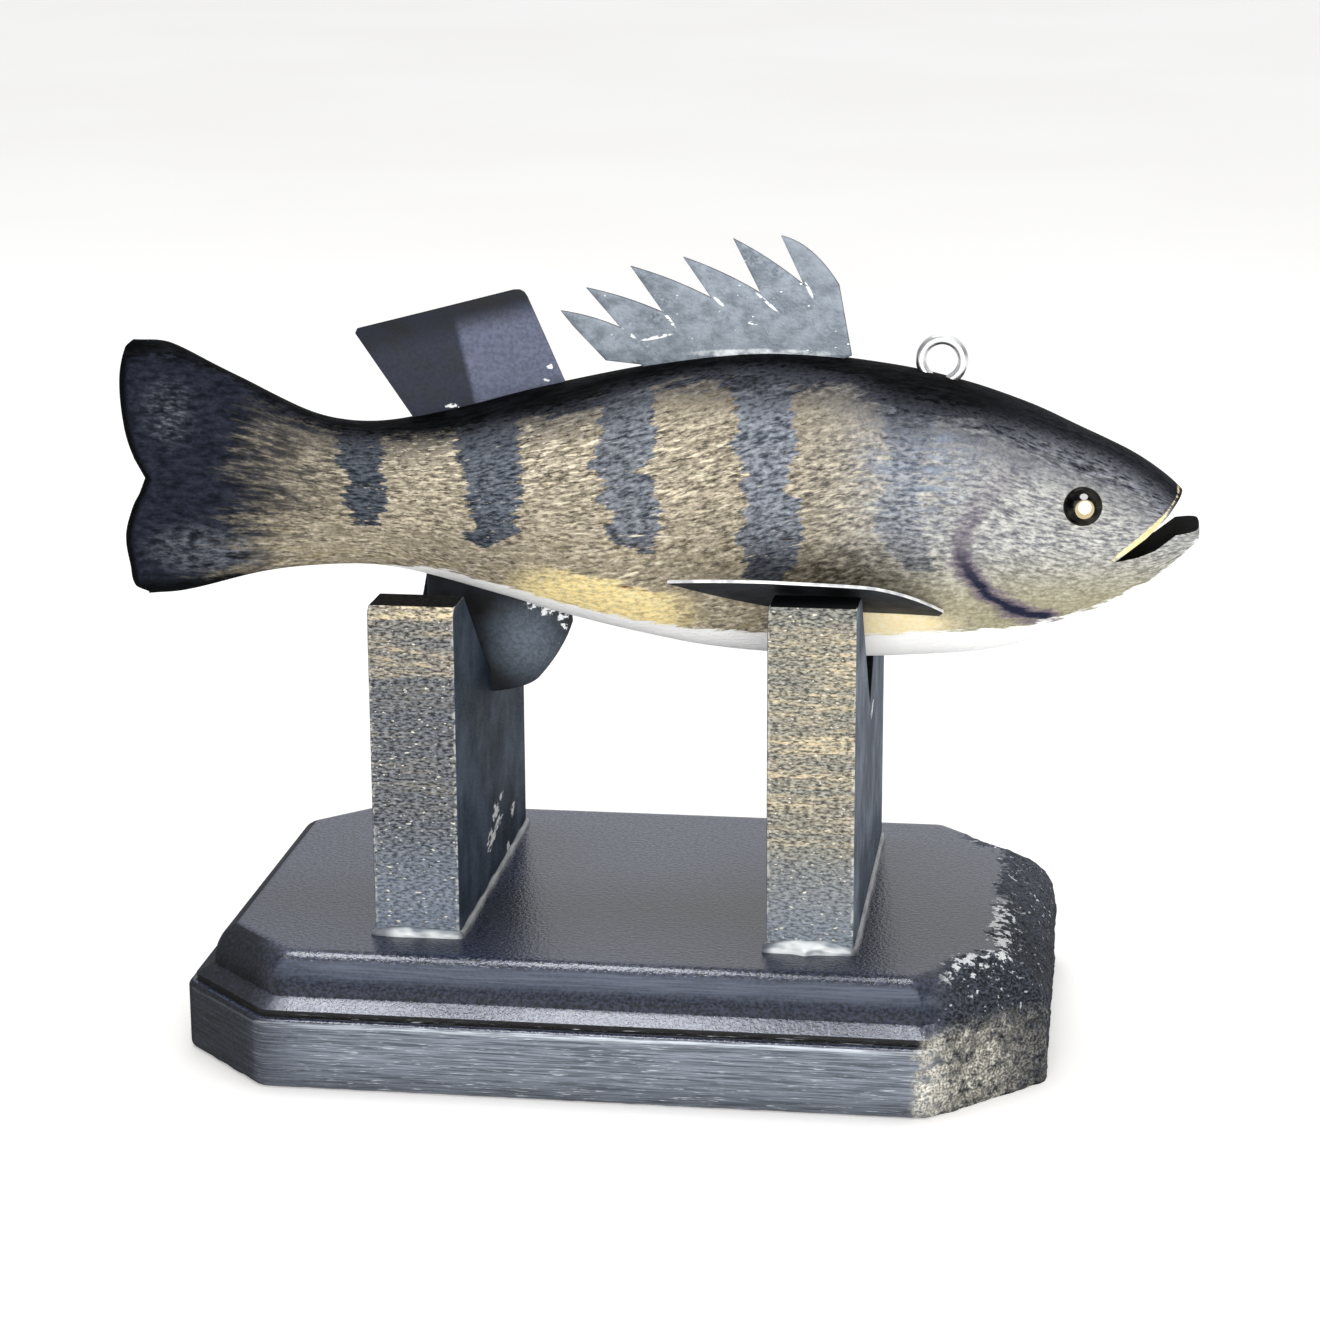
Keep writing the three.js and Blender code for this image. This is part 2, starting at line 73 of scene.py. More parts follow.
# One mask of parts multiplied together. A part (mask, low, high) is spread evenly from low to high, and
# a part (value, start, end, low, high) goes smoothly from low at start to high at end
def mask(tree, *parts):
    whole = None
    for part in parts:
        if isinstance(part, tuple):
            even = len(part) == 3
            limits = (part[0], 0, 1, *part[1:]) if even else part
            part = addNode(tree, "MapRange", {} if even else smooth, dict(enumerate(limits)))
        if whole is None:
            whole = part
        else:
            whole = addNode(tree, "Math", {"operation": "MULTIPLY"}, {0: whole, 1: part})
    return whole


# Coats of paint laid in order, each a colour and the parts of the mask that says where it covers
def layCoats(tree, ground, coats):
    for colour, *parts in coats:
        ground = addNode(tree, "Mix", colours, {0: mask(tree, *parts), 6: ground, 7: colour})
    return ground


# Uneven marks of about size millimetres along each axis, from 0 to 1: cloudy noise cut at low and high
def marks(tree, place, size, low=0.35, high=0.65, detail=2.0):
    scaled = addNode(tree, "Mapping", {}, {"Vector": place, "Scale": [1 / (s * mm) for s in size]})
    cloud = addNode(tree, "TexNoise", {}, {
        "Vector": scaled, "Scale": 1.0, "Detail": detail, "Roughness": 0.62})
    return mask(tree, (cloud, low, high, 0, 1))


# A float attribute of the mesh in millimetres, moved to and fro by ragged marks, then cut from low to high
def raggedEdge(tree, name, ragged, reach, low, high):
    field = addNode(tree, "Attribute", {"attribute_name": name}, {}).outputs["Fac"]
    centred = addNode(tree, "Math", {"operation": "SUBTRACT"}, {0: ragged, 1: 0.5})
    moved = addNode(tree, "Math", {"operation": "MULTIPLY_ADD"}, {0: centred, 1: reach, 2: field})
    return mask(tree, (moved, low, high, 0, 1))


# A soft patch in millimetres: 0 outside an ellipsoid round centre, 1 inside the inner share of its radii
def patch(tree, place, centre, radii, inner):
    scale = [1 / (r * mm) for r in radii]
    shifted = addNode(tree, "Mapping", {}, {
        "Vector": place, "Scale": scale, "Location": [-c * mm * s for c, s in zip(centre, scale)]})
    away = addNode(tree, "VectorMath", {"operation": "LENGTH"}, {0: shifted}).outputs["Value"]
    return mask(tree, (away, 1, inner, 0, 1))


# Flaked paint: bare at the middle of a patch, in ragged bits towards its edge
def flakes(tree, place, cloud, centre, radii):
    near = patch(tree, place, centre, radii, 0)
    both = addNode(tree, "Math", {"operation": "ADD"}, {0: near, 1: cloud})
    return mask(tree, (both, 1.1, 1.3, 0, 1))


# One scratch: how near a place is to a straight line from start to end, seen from the side
def scratch(tree, place, start, end, width):
    middle = (np.array(start) + end) / 2
    way = np.subtract(end, start)
    half = np.linalg.norm(way) / 2
    moved = addNode(tree, "VectorMath", {"operation": "SUBTRACT"}, {
        0: place, 1: [middle[0] * mm, 0, middle[1] * mm]})
    turned = addNode(tree, "VectorRotate", {"rotation_type": "Y_AXIS"}, {
        0: moved, "Angle": math.atan2(way[1], way[0])})
    sized = addNode(tree, "Mapping", {}, {
        "Vector": turned, "Scale": [1 / (half * mm), 0, 1 / (width * mm)]})
    away = addNode(tree, "VectorMath", {"operation": "LENGTH"}, {0: sized}).outputs["Value"]
    return mask(tree, (away, 1, 0.6, 0, 1))


# A material with its shader's constants set, and the place of each point on the piece
def newFinish(name, **constants):
    material = bpy.data.materials.new(name)
    material.use_nodes = True
    tree = material.node_tree
    shader = tree.nodes["Principled BSDF"]
    for socket, value in constants.items():
        shader.inputs[socket.replace("_", " ")].default_value = value
    place = addNode(tree, "TexCoord", {}, {}).outputs["Object"]
    return material, tree, shader, place


# Colour, roughness between two values and a bump of the given height in millimetres
def dressShader(tree, shader, colour, gloss, roughness, relief, height):
    tree.links.new(next(s for s in colour.outputs if s.enabled), shader.inputs["Base Color"])
    tree.links.new(mask(tree, (gloss, *roughness)).outputs["Result"], shader.inputs["Roughness"])
    bump = addNode(tree, "Bump", {}, {"Height": relief, "Distance": height * mm, "Strength": 1.0})
    tree.links.new(bump.outputs["Normal"], shader.inputs["Normal"])


# A finish of two colours mixed by one set of marks, which drives its gloss and relief too
def plainFinish(name, size, dark, light, roughness, height, cut=(0.35, 0.65), **constants):
    material, tree, shader, place = newFinish(name, **constants)
    grain = marks(tree, place, size, *cut)
    dressShader(tree, shader, layCoats(tree, dark, [(light, grain)]), grain, roughness, grain, height)
    return material


# Hand work is never even: plane waves in mixed directions, added up to about -1 to 1
def ripple(points, wavelength, seed, count=14):
    draw = np.random.default_rng(seed)
    total = np.zeros(len(points))
    for _ in range(count):
        way = draw.normal(size=3)
        way *= 2 * math.pi / (wavelength * draw.uniform(0.7, 1.6) * np.linalg.norm(way))
        total += np.sin(points @ way + draw.uniform(0, 2 * math.pi))
    return total / math.sqrt(2 * count)


# Vectors in rows, each scaled to a length of 1
def unit(vectors):
    return vectors / np.linalg.norm(vectors, axis=1, keepdims=True)


# Quads between rings of equally many points; each ring is closed, and wrap joins the last to the first
def ringQuads(rings, count, wrap=False):
    i, j = np.meshgrid(np.arange(rings if wrap else rings - 1), np.arange(count), indexing="ij")
    nextJ = (j + 1) % count
    nextI = (i + 1) % rings
    quads = [i * count + j, i * count + nextJ, nextI * count + nextJ, nextI * count + j]
    return np.stack(quads, -1).reshape(-1, 4).tolist()


# Faces of a tube of rings with an end face on its first and last ring
def tubeFaces(rings, count):
    last = (rings - 1) * count
    return ringQuads(rings, count) + [list(range(count)), list(range(last, last + count))]


# A mesh object from points in millimetres, its faces turned outwards
def makeMesh(name, points, faces):
    mesh = bpy.data.meshes.new(name)
    mesh.from_pydata((np.asarray(points) * mm).tolist(), [], faces)
    shape = bmesh.new()
    shape.from_mesh(mesh)
    bmesh.ops.recalc_face_normals(shape, faces=shape.faces)
    shape.to_mesh(mesh)
    shape.free()
    piece = bpy.data.objects.new(name, mesh)
    scene.collection.objects.link(piece)
    return piece


# Applies a piece's modifiers, then rounds its shading except at edges sharper than the angle
def settleMesh(piece, sharpAngle):
    graph = bpy.context.evaluated_depsgraph_get()
    settled = bpy.data.meshes.new_from_object(piece.evaluated_get(graph))
    piece.modifiers.clear()
    piece.data = settled
    settled.polygons.foreach_set("use_smooth", [True] * len(settled.polygons))
    settled.set_sharp_from_angle(angle=math.radians(sharpAngle))


# A finished piece belongs to the one body and takes the place of its nodes
def placePiece(piece, slot, *nodes):
    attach(piece, "root")
    if nodes:
        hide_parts(*nodes)


# A smooth line through points, read at many x: a cubic whose slopes come from its neighbours
def readLine(points, x):
    line = np.array(points, float)
    last = len(line) - 1
    before = np.maximum(np.arange(last + 1) - 1, 0)
    after = np.minimum(np.arange(last + 1) + 1, last)
    slope = (line[after, 1] - line[before, 1]) / (line[after, 0] - line[before, 0])
    i = np.clip(np.searchsorted(line[:, 0], x) - 1, 0, last - 1)
    run = line[i + 1, 0] - line[i, 0]
    t = np.clip((x - line[i, 0]) / run, 0, 1)
    ease = t * t * (3 - 2 * t)
    rise = (line[i + 1, 1] - line[i, 1]) * ease
    return line[i, 1] + rise + run * t * (1 - t) * (slope[i] * (1 - t) - slope[i + 1] * t)


# Outline from a first point and its strokes: one point is a straight side, two or three a Bezier curve
def drawOutline(start, strokes, spacing):
    points = [np.array([start], float)]
    for stroke in strokes:
        ends = [np.array([point], float) for point in (points[-1][-1], *stroke)]
        chord = sum(np.linalg.norm(b - a) for a, b in zip(ends, ends[1:]))
        t = np.linspace(0, 1, max(2, round(chord / spacing) + 1))[1:, None]
        while len(ends) > 1:
            ends = [a * (1 - t) + b * t for a, b in zip(ends, ends[1:])]
        points.append(ends[0])
    return np.concatenate(points)


# Triangles that fill a closed outline, with inner points on a grid so that the plate can bend
def fillOutline(outline, spacing):
    low, high = outline.min(0), outline.max(0)
    across, up = np.meshgrid(*[np.arange(low[k] + spacing, high[k], spacing) for k in (0, 1)])
    inner = np.stack([across.ravel(), up.ravel()], -1)
    a, b = outline, np.roll(outline, -1, 0)
    crosses = (a[:, 1] > inner[:, None, 1]) != (b[:, 1] > inner[:, None, 1])
    rise = np.where(a[:, 1] == b[:, 1], 1, b[:, 1] - a[:, 1])
    reach = a[:, 0] + (inner[:, None, 1] - a[:, 1]) * (b[:, 0] - a[:, 0]) / rise
    inside = (crosses & (inner[:, None, 0] < reach)).sum(1) % 2 == 1
    near = np.linalg.norm(inner[:, None] - outline, axis=2).min(1)
    inner = inner[inside & (near > spacing * 0.5)]
    ring = list(range(len(outline)))
    flat = [Vector(p) for p in np.concatenate([outline, inner]).tolist()]
    points, _, faces, *_ = delaunay_2d_cdt(flat, [], [ring], 1, 1e-6)
    return np.array([p[:] for p in points]), faces


# A plate of an outline: flat points go through place to 3-D, then it gets its thickness and worn edges
def makePlate(name, outline, place, thickness, wornEdge, spacing, finishes):
    flat, faces = fillOutline(outline, spacing)
    piece = makeMesh(name, place(flat), faces)
    for finish in finishes:
        piece.data.materials.append(finish)
    wall = piece.modifiers.new("thickness", "SOLIDIFY")
    wall.thickness = thickness * mm
    wall.offset = 0
    wall.material_offset_rim = len(finishes) - 1
    edge = piece.modifiers.new("wornEdge", "BEVEL")
    edge.width = wornEdge * mm
    edge.segments = 3
    edge.limit_method = "ANGLE"
    edge.angle_limit = math.radians(50)
    settleMesh(piece, 35)
    return piece


# Stores one number, or one place in metres, for each corner point of the mesh
def storeField(piece, name, values):
    kind = "FLOAT" if values.ndim == 1 else "FLOAT_VECTOR"
    layer = piece.data.attributes.new(name, kind, "POINT")
    layer.data.foreach_set("value" if values.ndim == 1 else "vector", values.astype(np.float32).ravel())


def readPoints(piece):
    flat = np.empty(len(piece.data.vertices) * 3, np.float32)
    piece.data.vertices.foreach_get("co", flat)
    return flat.reshape(-1, 3).astype(float) / mm


# Fish body: lines are shares of its length (x) and depth (z), as a carver's patterns are
carving = {
    "length": 240.8, "depth": 66.8, "thickness": 38.0,
    "backLine": [
        [0, 0.508], [0.05, 0.497], [0.115, 0.385], [0.187, 0.268], [0.243, 0.2455], [0.313, 0.293],
        [0.421, 0.394], [0.542, 0.479], [0.631, 0.5], [0.743, 0.458], [0.827, 0.376],
        [0.928, 0.221], [0.96, 0.153], [0.984, 0.079], [0.995, 0.014], [1, -0.03]],
    "bellyLine": [
        [0, -0.368], [0.053, -0.349], [0.15, -0.265], [0.228, -0.24], [0.289, -0.265],
        [0.425, -0.392], [0.519, -0.464], [0.623, -0.499], [0.739, -0.496], [0.833, -0.452],
        [0.908, -0.338], [0.955, -0.246], [0.989, -0.129], [1, -0.075]],
    "widestLine": [[0, 0.039], [0.2, 0.02], [0.45, 0], [0.8, -0.01], [0.93, -0.03], [1, -0.052]],
    "thicknessLine": [
        [0, 0.13], [0.05, 0.17], [0.15, 0.31], [0.243, 0.45], [0.332, 0.66], [0.436, 0.87],
        [0.54, 0.985], [0.631, 1], [0.739, 0.96], [0.831, 0.83], [0.893, 0.69], [0.947, 0.55],
        [0.98, 0.49], [1, 0.46]],
    "tailNotch": [
        [-0.36, 0.019], [-0.34, 0.007], [-0.27, 0.003], [-0.165, 0], [-0.063, 0.008], [0.039, 0.0215],
        [0.105, 0.0115], [0.205, 0.0033], [0.37, 0.0004], [0.482, 0.007], [0.51, 0.015]],
    "mouthLine": [[0.9253, -0.132], [0.9465, -0.116], [0.961, -0.094], [0.979, -0.041], [1.02, -0.016]],
    "lipLine": [[0.9253, -0.132], [0.9531, -0.054], [0.9718, 0.0176], [0.984, 0.079]],
    "ovalPower": 2.2, "tailSquareness": 1.2, "forkReach": 21.7,
    "tailEndRadius": 2.0, "tailEndThinness": 0.55, "noseRadius": 4.0, "noseThinness": 0.7,
    "lengthSteps": 420, "aroundSteps": 184, "endCrowding": 0.7,
    "knifeMark": 0.13, "knifeSpacing": 13.0, "knifeFade": 12,
    "lipBevel": 1.7, "lipDepth": 0.9, "lipSlope": 0.12,
}
fishLow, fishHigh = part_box("fish_body")
fishOrigin = np.array([
    fishHigh.x / mm - carving["length"], 0, fishHigh.z / mm - carving["backLine"][0][1] * carving["depth"]])


# Top, bottom, widest level and half thickness of the body at x
def bodySection(x):
    length, depth = carving["length"], carving["depth"]
    share = np.clip(x / length, 0, 1)
    half = readLine(carving["thicknessLine"], share) * carving["thickness"] / 2
    for reach, thin in ((x / carving["tailEndRadius"], carving["tailEndThinness"]),
                        ((length - x) / carving["noseRadius"], carving["noseThinness"])):
        away = 1 - np.clip(reach, 0, 1)
        half = half * (thin + (1 - thin) * np.sqrt(1 - away ** 2))
    levels = [readLine(carving[name], share) * depth for name in ("backLine", "bellyLine", "widestLine")]
    return levels + [half]


# How far the side stands from the middle plane at x and z: an oval of the body's power
def flank(x, z):
    top, bottom, widest, half = bodySection(x)
    up = np.where(z > widest, (z - widest) / (top - widest), (widest - z) / (widest - bottom))
    return half * (1 - np.clip(up, 0, 1) ** carving["ovalPower"]) ** (1 / carving["ovalPower"])


# How far points stand behind the upper lip, square to its general slope, and how far along it they are
def lipPlace(x, z):
    line = np.array(carving["lipLine"]) * [carving["length"], carving["depth"]]
    run, rise = line[-1] - line[0]
    behind = (np.interp(z, line[:, 1], line[:, 0]) - x) * rise / math.hypot(run, rise)
    return behind, (z - line[0, 1]) / rise


# The body: oval rings along x, pushed forward at the forked tail's end, with shallow knife marks
# and a pared edge along the upper lip. Each end is closed by quads across its last ring.
def carveBody():
    steps, count, length = carving["lengthSteps"], carving["aroundSteps"], carving["length"]
    t = np.linspace(0, 1, steps + 1)
    x = length * (t - carving["endCrowding"] * np.sin(2 * math.pi * t) / (2 * math.pi))[:, None]
    top, bottom, widest, half = bodySection(x)
    fade = np.maximum(0, 1 - x / carving["forkReach"]) ** 2
    power = 2 / (carving["ovalPower"] + carving["tailSquareness"]
                 * np.maximum(0, 1 - x / (3 * carving["forkReach"])))
    turn = math.pi / 2 + 2 * math.pi * np.arange(count)[None] / count
    up = np.sign(np.sin(turn)) * np.abs(np.sin(turn)) ** power
    side = np.sign(np.cos(turn)) * np.abs(np.cos(turn)) ** power
    z = widest + up * np.where(up > 0, top - widest, widest - bottom)
    y = side * half
    forward = x + readLine(carving["tailNotch"], z / carving["depth"]) * length * fade
    points = np.stack([forward, y, z], -1).reshape(-1, 3)
    ends = np.clip(np.minimum(x, length - x) / carving["knifeFade"], 0, 1)
    cut = ripple(points * [0.8, 1, 1.2], carving["knifeSpacing"], 3).reshape(z.shape)
    cut = cut * carving["knifeMark"] * ends
    behind, along = lipPlace(forward, z)
    pared = np.clip(1 - behind / carving["lipBevel"], 0, 1) * (behind > -0.6) * np.clip(along * 3, 0, 1)
    lipCut = np.minimum(carving["lipDepth"], np.abs(y) * carving["lipSlope"])
    y = y + side * cut - np.sign(y) * pared * lipCut
    points = np.stack([forward, y, z + up * cut], -1).reshape(-1, 3) + fishOrigin
    points[:, 0] = np.maximum(points[:, 0], fishLow.x / mm)
    j = np.arange(count // 2)
    cap = np.stack([(count - j) % count, j, j + 1, count - j - 1], -1)
    caps = [[int(k) for k in dict.fromkeys(quad.tolist())] for quad in cap]
    last = steps * count
    caps += [[last + k for k in quad] for quad in caps]
    return makeMesh("carvedFishBody", points, ringQuads(steps + 1, count) + caps)


# The mouth is sawn out as one wedge; its upper face stays bare wood and its lower face is painted
def cutMouth(piece, lipWood, mouthPaint):
    scale = np.array([carving["length"], carving["depth"]])
    lower = np.array(carving["mouthLine"]) * scale
    upper = np.array(carving["lipLine"])[:0:-1] * scale
    past = upper[1] + (upper[0] - upper[1]) * 3
    reach = past + [carving["thickness"], 0]
    outline = np.concatenate([lower, [[reach[0], lower[-1][1]], reach, past], upper])
    width = carving["thickness"]
    rings = [np.insert(outline, 1, y, axis=1) for y in (-width, width)]
    cutter = makeMesh("mouthCutter", np.concatenate(rings) + fishOrigin, tubeFaces(2, len(outline)))
    cutter.data.materials.append(mouthPaint)
    cutter.data.materials.append(lipWood)
    for face in cutter.data.polygons:
        if face.normal.z > 0.3 and face.normal.x < -0.3:
            face.material_index = 1
    saw = piece.modifiers.new("mouth", "BOOLEAN")
    saw.object = cutter
    saw.solver = "EXACT"
    saw.material_mode = "TRANSFER"
    settleMesh(piece, 40)
    bpy.data.objects.remove(cutter)


# Paint on the fish, in millimetres from the tail's end (x) and from its axis (z)
painting = {
    "blackBand": [[0, 6], [10, 5], [25, 3.6], [47, 4.6], [60, 5.4], [75, 8.8], [104, 10.3], [127, 6.8],
                  [146, 6.4], [163, 7.6], [176, 11.5], [187, 10.9], [208, 8.7], [223, 6.8], [232, 6.8],
                  [241, 7.5]],
    "slateBand": [[0, 2], [47, 6.2], [60, 7.2], [75, 10.8], [104, 14.6], [127, 12], [147, 15.3],
                  [163, 13.8], [176, 17.7], [188, 15.6], [208, 15.3], [223, 13.4], [232, 13.4], [241, 16]],
    "whiteLine": [[0, -30], [45, -21], [60, -16.4], [71, -14.8], [85, -17.4], [104, -21.9], [124, -25.6],
                  [147, -26], [169, -25.7], [189, -24.6], [201, -23.8], [210, -22.4], [219, -19.8],
                  [224, -17], [230, -13.9], [236, -8.7], [241, -3]],
    "tailLine": [[-25, 22], [-19, 18], [-16, 27], [-14, 30], [-12, 19], [-9, 31], [-6, 24], [-1, 32],
                 [5.5, 26], [12, 28], [21, 33], [30, 36]],
    "rimLine": [[0, 3.4], [25, 2.6], [50, 0.2]],
    "scratches": [
        ([99.3, -4.2], [141.5, -3.9], 0.3, "efe7d2"), ([141.5, -3.9], [156.7, -3.5], 0.4, "3c342f"),
        ([114.9, -14.3], [120.7, -12.1], 0.4, "f3ead0"), ([112, -15.6], [124.5, -17.1], 0.4, "7d5128")],
    # Centre, radii and inner share of each area where the paint is hazier, paler, yellower or darker;
    # finShade is painted shade on the flank above the pectoral fin
    "areas": {
        "upperHaze": ([12, 0, 18], (9, 30, 11), 0.1), "lowerHaze": ([19, 0, -13.5], (18, 30, 8), 0.3),
        "blueHaze": ([180, 0, 12], (18, 60, 22), 0.1), "tailShade": ([24, 0, 8], (54, 60, 24), 0.3),
        "wristShade": ([34, 0, 6], (26, 60, 13), 0.3), "yellow": ([110, 0, -22], (27, 60, 14), 0.5),
        "cream": ([172, 0, -23], (22, 60, 5), 0.5), "finShade": ([164, 0, -11], (28, 60, 9), 0.15),
        "flank": ([112, 0, 2], (84, 60, 26), 0.6)},
    "strokes": [[0, 0], [80, 0], [110, 5], [170, 20], [195, 21], [241, 11]],
    "gillLine": [[202.6, 12.9], [198.3, 9.1], [195.4, 6.3], [192.1, 1.8], [190.1, -3], [190.2, -7.7],
                 [192.4, -11.3], [195.8, -15.8], [200.6, -19], [205.1, -20.6], [209.1, -21.9]],
}
# Each bar: its bottom, and its rear and front edges as levels z with the x there
bars = [
    {"bottom": -5.2, "strength": 1.0,
     "rear": [[-5.2, 54.7], [-2.7, 54], [-0.3, 52], [3, 53.5], [6.2, 54.3], [7.8, 50.8], [14, 51.5]],
     "front": [[-5, 60], [-2.8, 60.2], [-1.9, 62.6], [0.4, 63], [7.6, 61.8], [14, 61.5]]},
    {"bottom": -8.5, "strength": 1.0,
     "rear": [[-8.6, 84.5], [-7.3, 80], [-5.9, 79.4], [-4.9, 84.3], [-2.3, 83.2], [2.3, 81], [5.6, 81.5],
              [9.8, 79.8], [14, 78.4], [17.4, 78]],
     "front": [[-8.4, 85.5], [-7.3, 88], [-5.6, 92.4], [-4.4, 94.5], [-2.9, 92.2], [1.9, 93.5], [9.6, 94],
               [19, 92.8], [22, 92.5]]},
    {"bottom": -7.2, "strength": 0.95,
     "rear": [[-7, 118], [-5.6, 113], [-2.8, 113.5], [1.3, 114.2], [2.9, 110.7], [7.3, 113.1], [9.4, 110.2],
              [11.5, 109.5], [17, 111.5], [24, 111.2]],
     "front": [[-6.8, 123], [-1.6, 125.5], [2.2, 125.5], [4.6, 123.8], [8.9, 123.7], [10, 119.3],
               [13.1, 123.6], [16.5, 124.6], [19.5, 123.4], [26, 123]]},
    {"bottom": -15, "strength": 0.95,
     "rear": [[-15, 144.5], [-12, 143.2], [-6.7, 143.9], [-3.7, 141], [-2.1, 143.3], [4.1, 143.9],
              [7.8, 142.1], [10.2, 144.2], [13.3, 143], [16.3, 139.7], [19.1, 141.8], [24.3, 140.4],
              [30, 140]],
     "front": [[-15, 151.5], [-11, 153.2], [-6.9, 155.4], [-3.5, 156.7], [0.9, 154.9], [4.9, 157],
               [6.5, 153], [11.8, 153], [15.6, 155.1], [19.3, 153.9], [23.3, 153.3], [30, 153]]},
    {"bottom": -10.5, "strength": 0.7,
     "rear": [[-9.6, 178.7], [-6.7, 175.2], [-0.7, 171.7], [5.2, 172.7], [13, 175], [21, 172], [28, 171]],
     "front": [[-9.5, 184.4], [-5.9, 183.7], [-0.6, 181.3], [6.3, 180.8], [13.1, 180.4], [19.6, 184.8],
               [28, 186]]},
]


# How far inside the nearest bar a place lies, in millimetres, and how strong that bar's paint is
def barFields(x, z):
    depth = np.full(len(x), -20.0)
    strength = np.zeros(len(x))
    for bar in bars:
        rear, front = (np.array(bar[side]) for side in ("rear", "front"))
        inside = np.minimum(x - np.interp(z, *rear.T), np.interp(z, *front.T) - x)
        inside = np.minimum(inside, z - bar["bottom"])
        nearer = inside > depth
        depth = np.where(nearer, inside, depth)
        strength = np.where(nearer, bar["strength"], strength)
    return depth, strength


# Distance to the gill's line: the least distance to any of its straight stretches
def gillField(x, z):
    line = np.array(painting["gillLine"])
    best = np.full(len(x), 50.0)
    for a, b in zip(line, line[1:]):
        way = b - a
        t = np.clip(((x - a[0]) * way[0] + (z - a[1]) * way[1]) / (way @ way), 0, 1)
        best = np.minimum(best, np.hypot(x - a[0] - t * way[0], z - a[1] - t * way[1]))
    return best


# Every field that the fish's paint reads, worked out from where each point of the body lies
def markOutPaint(piece):
    def paintLine(name, at):
        return np.interp(at, *np.array(painting[name]).T)

    x, y, z = (readPoints(piece) - fishOrigin).T
    top, bottom, _, _ = bodySection(x)
    ridge = np.hypot(y, top - z)
    keel = np.hypot(y, z - bottom)
    depth, strength = barFields(x, z)
    behind, along = lipPlace(x, z)
    onJaw = behind < -0.3
    lip = np.abs(behind - 0.65) - 0.8 * np.sin(np.pi * np.clip(along / 0.85, 0.03, 0.97) ** 0.8)
    share = (z - bottom) / (top - bottom)
    level = 0.5 * z + 0.5 * carving["depth"] * share
    tailEnd = readLine(carving["tailNotch"], z / carving["depth"]) * carving["length"]
    fields = {
        "barDepth": depth, "barStrength": strength, "gillAway": gillField(x, z),
        "blackDepth": np.where(onJaw, -12, paintLine("blackBand", x) - ridge),
        "slateDepth": np.where(onJaw, -12, paintLine("slateBand", x) - ridge),
        "whiteDepth": paintLine("whiteLine", x) - z,
        "tailDepth": paintLine("tailLine", z) - x,
        "rimDepth": paintLine("rimLine", x) - np.minimum(keel, 2.0 * (x - tailEnd)),
        "lipAway": np.where((along > 0) & ~onJaw, lip, 9.0),
        "fishLevel": z,
    }
    for name, values in fields.items():
        storeField(piece, name, values)
    storeField(piece, "brush", np.stack([x, level - paintLine("strokes", x), y], -1) * mm)


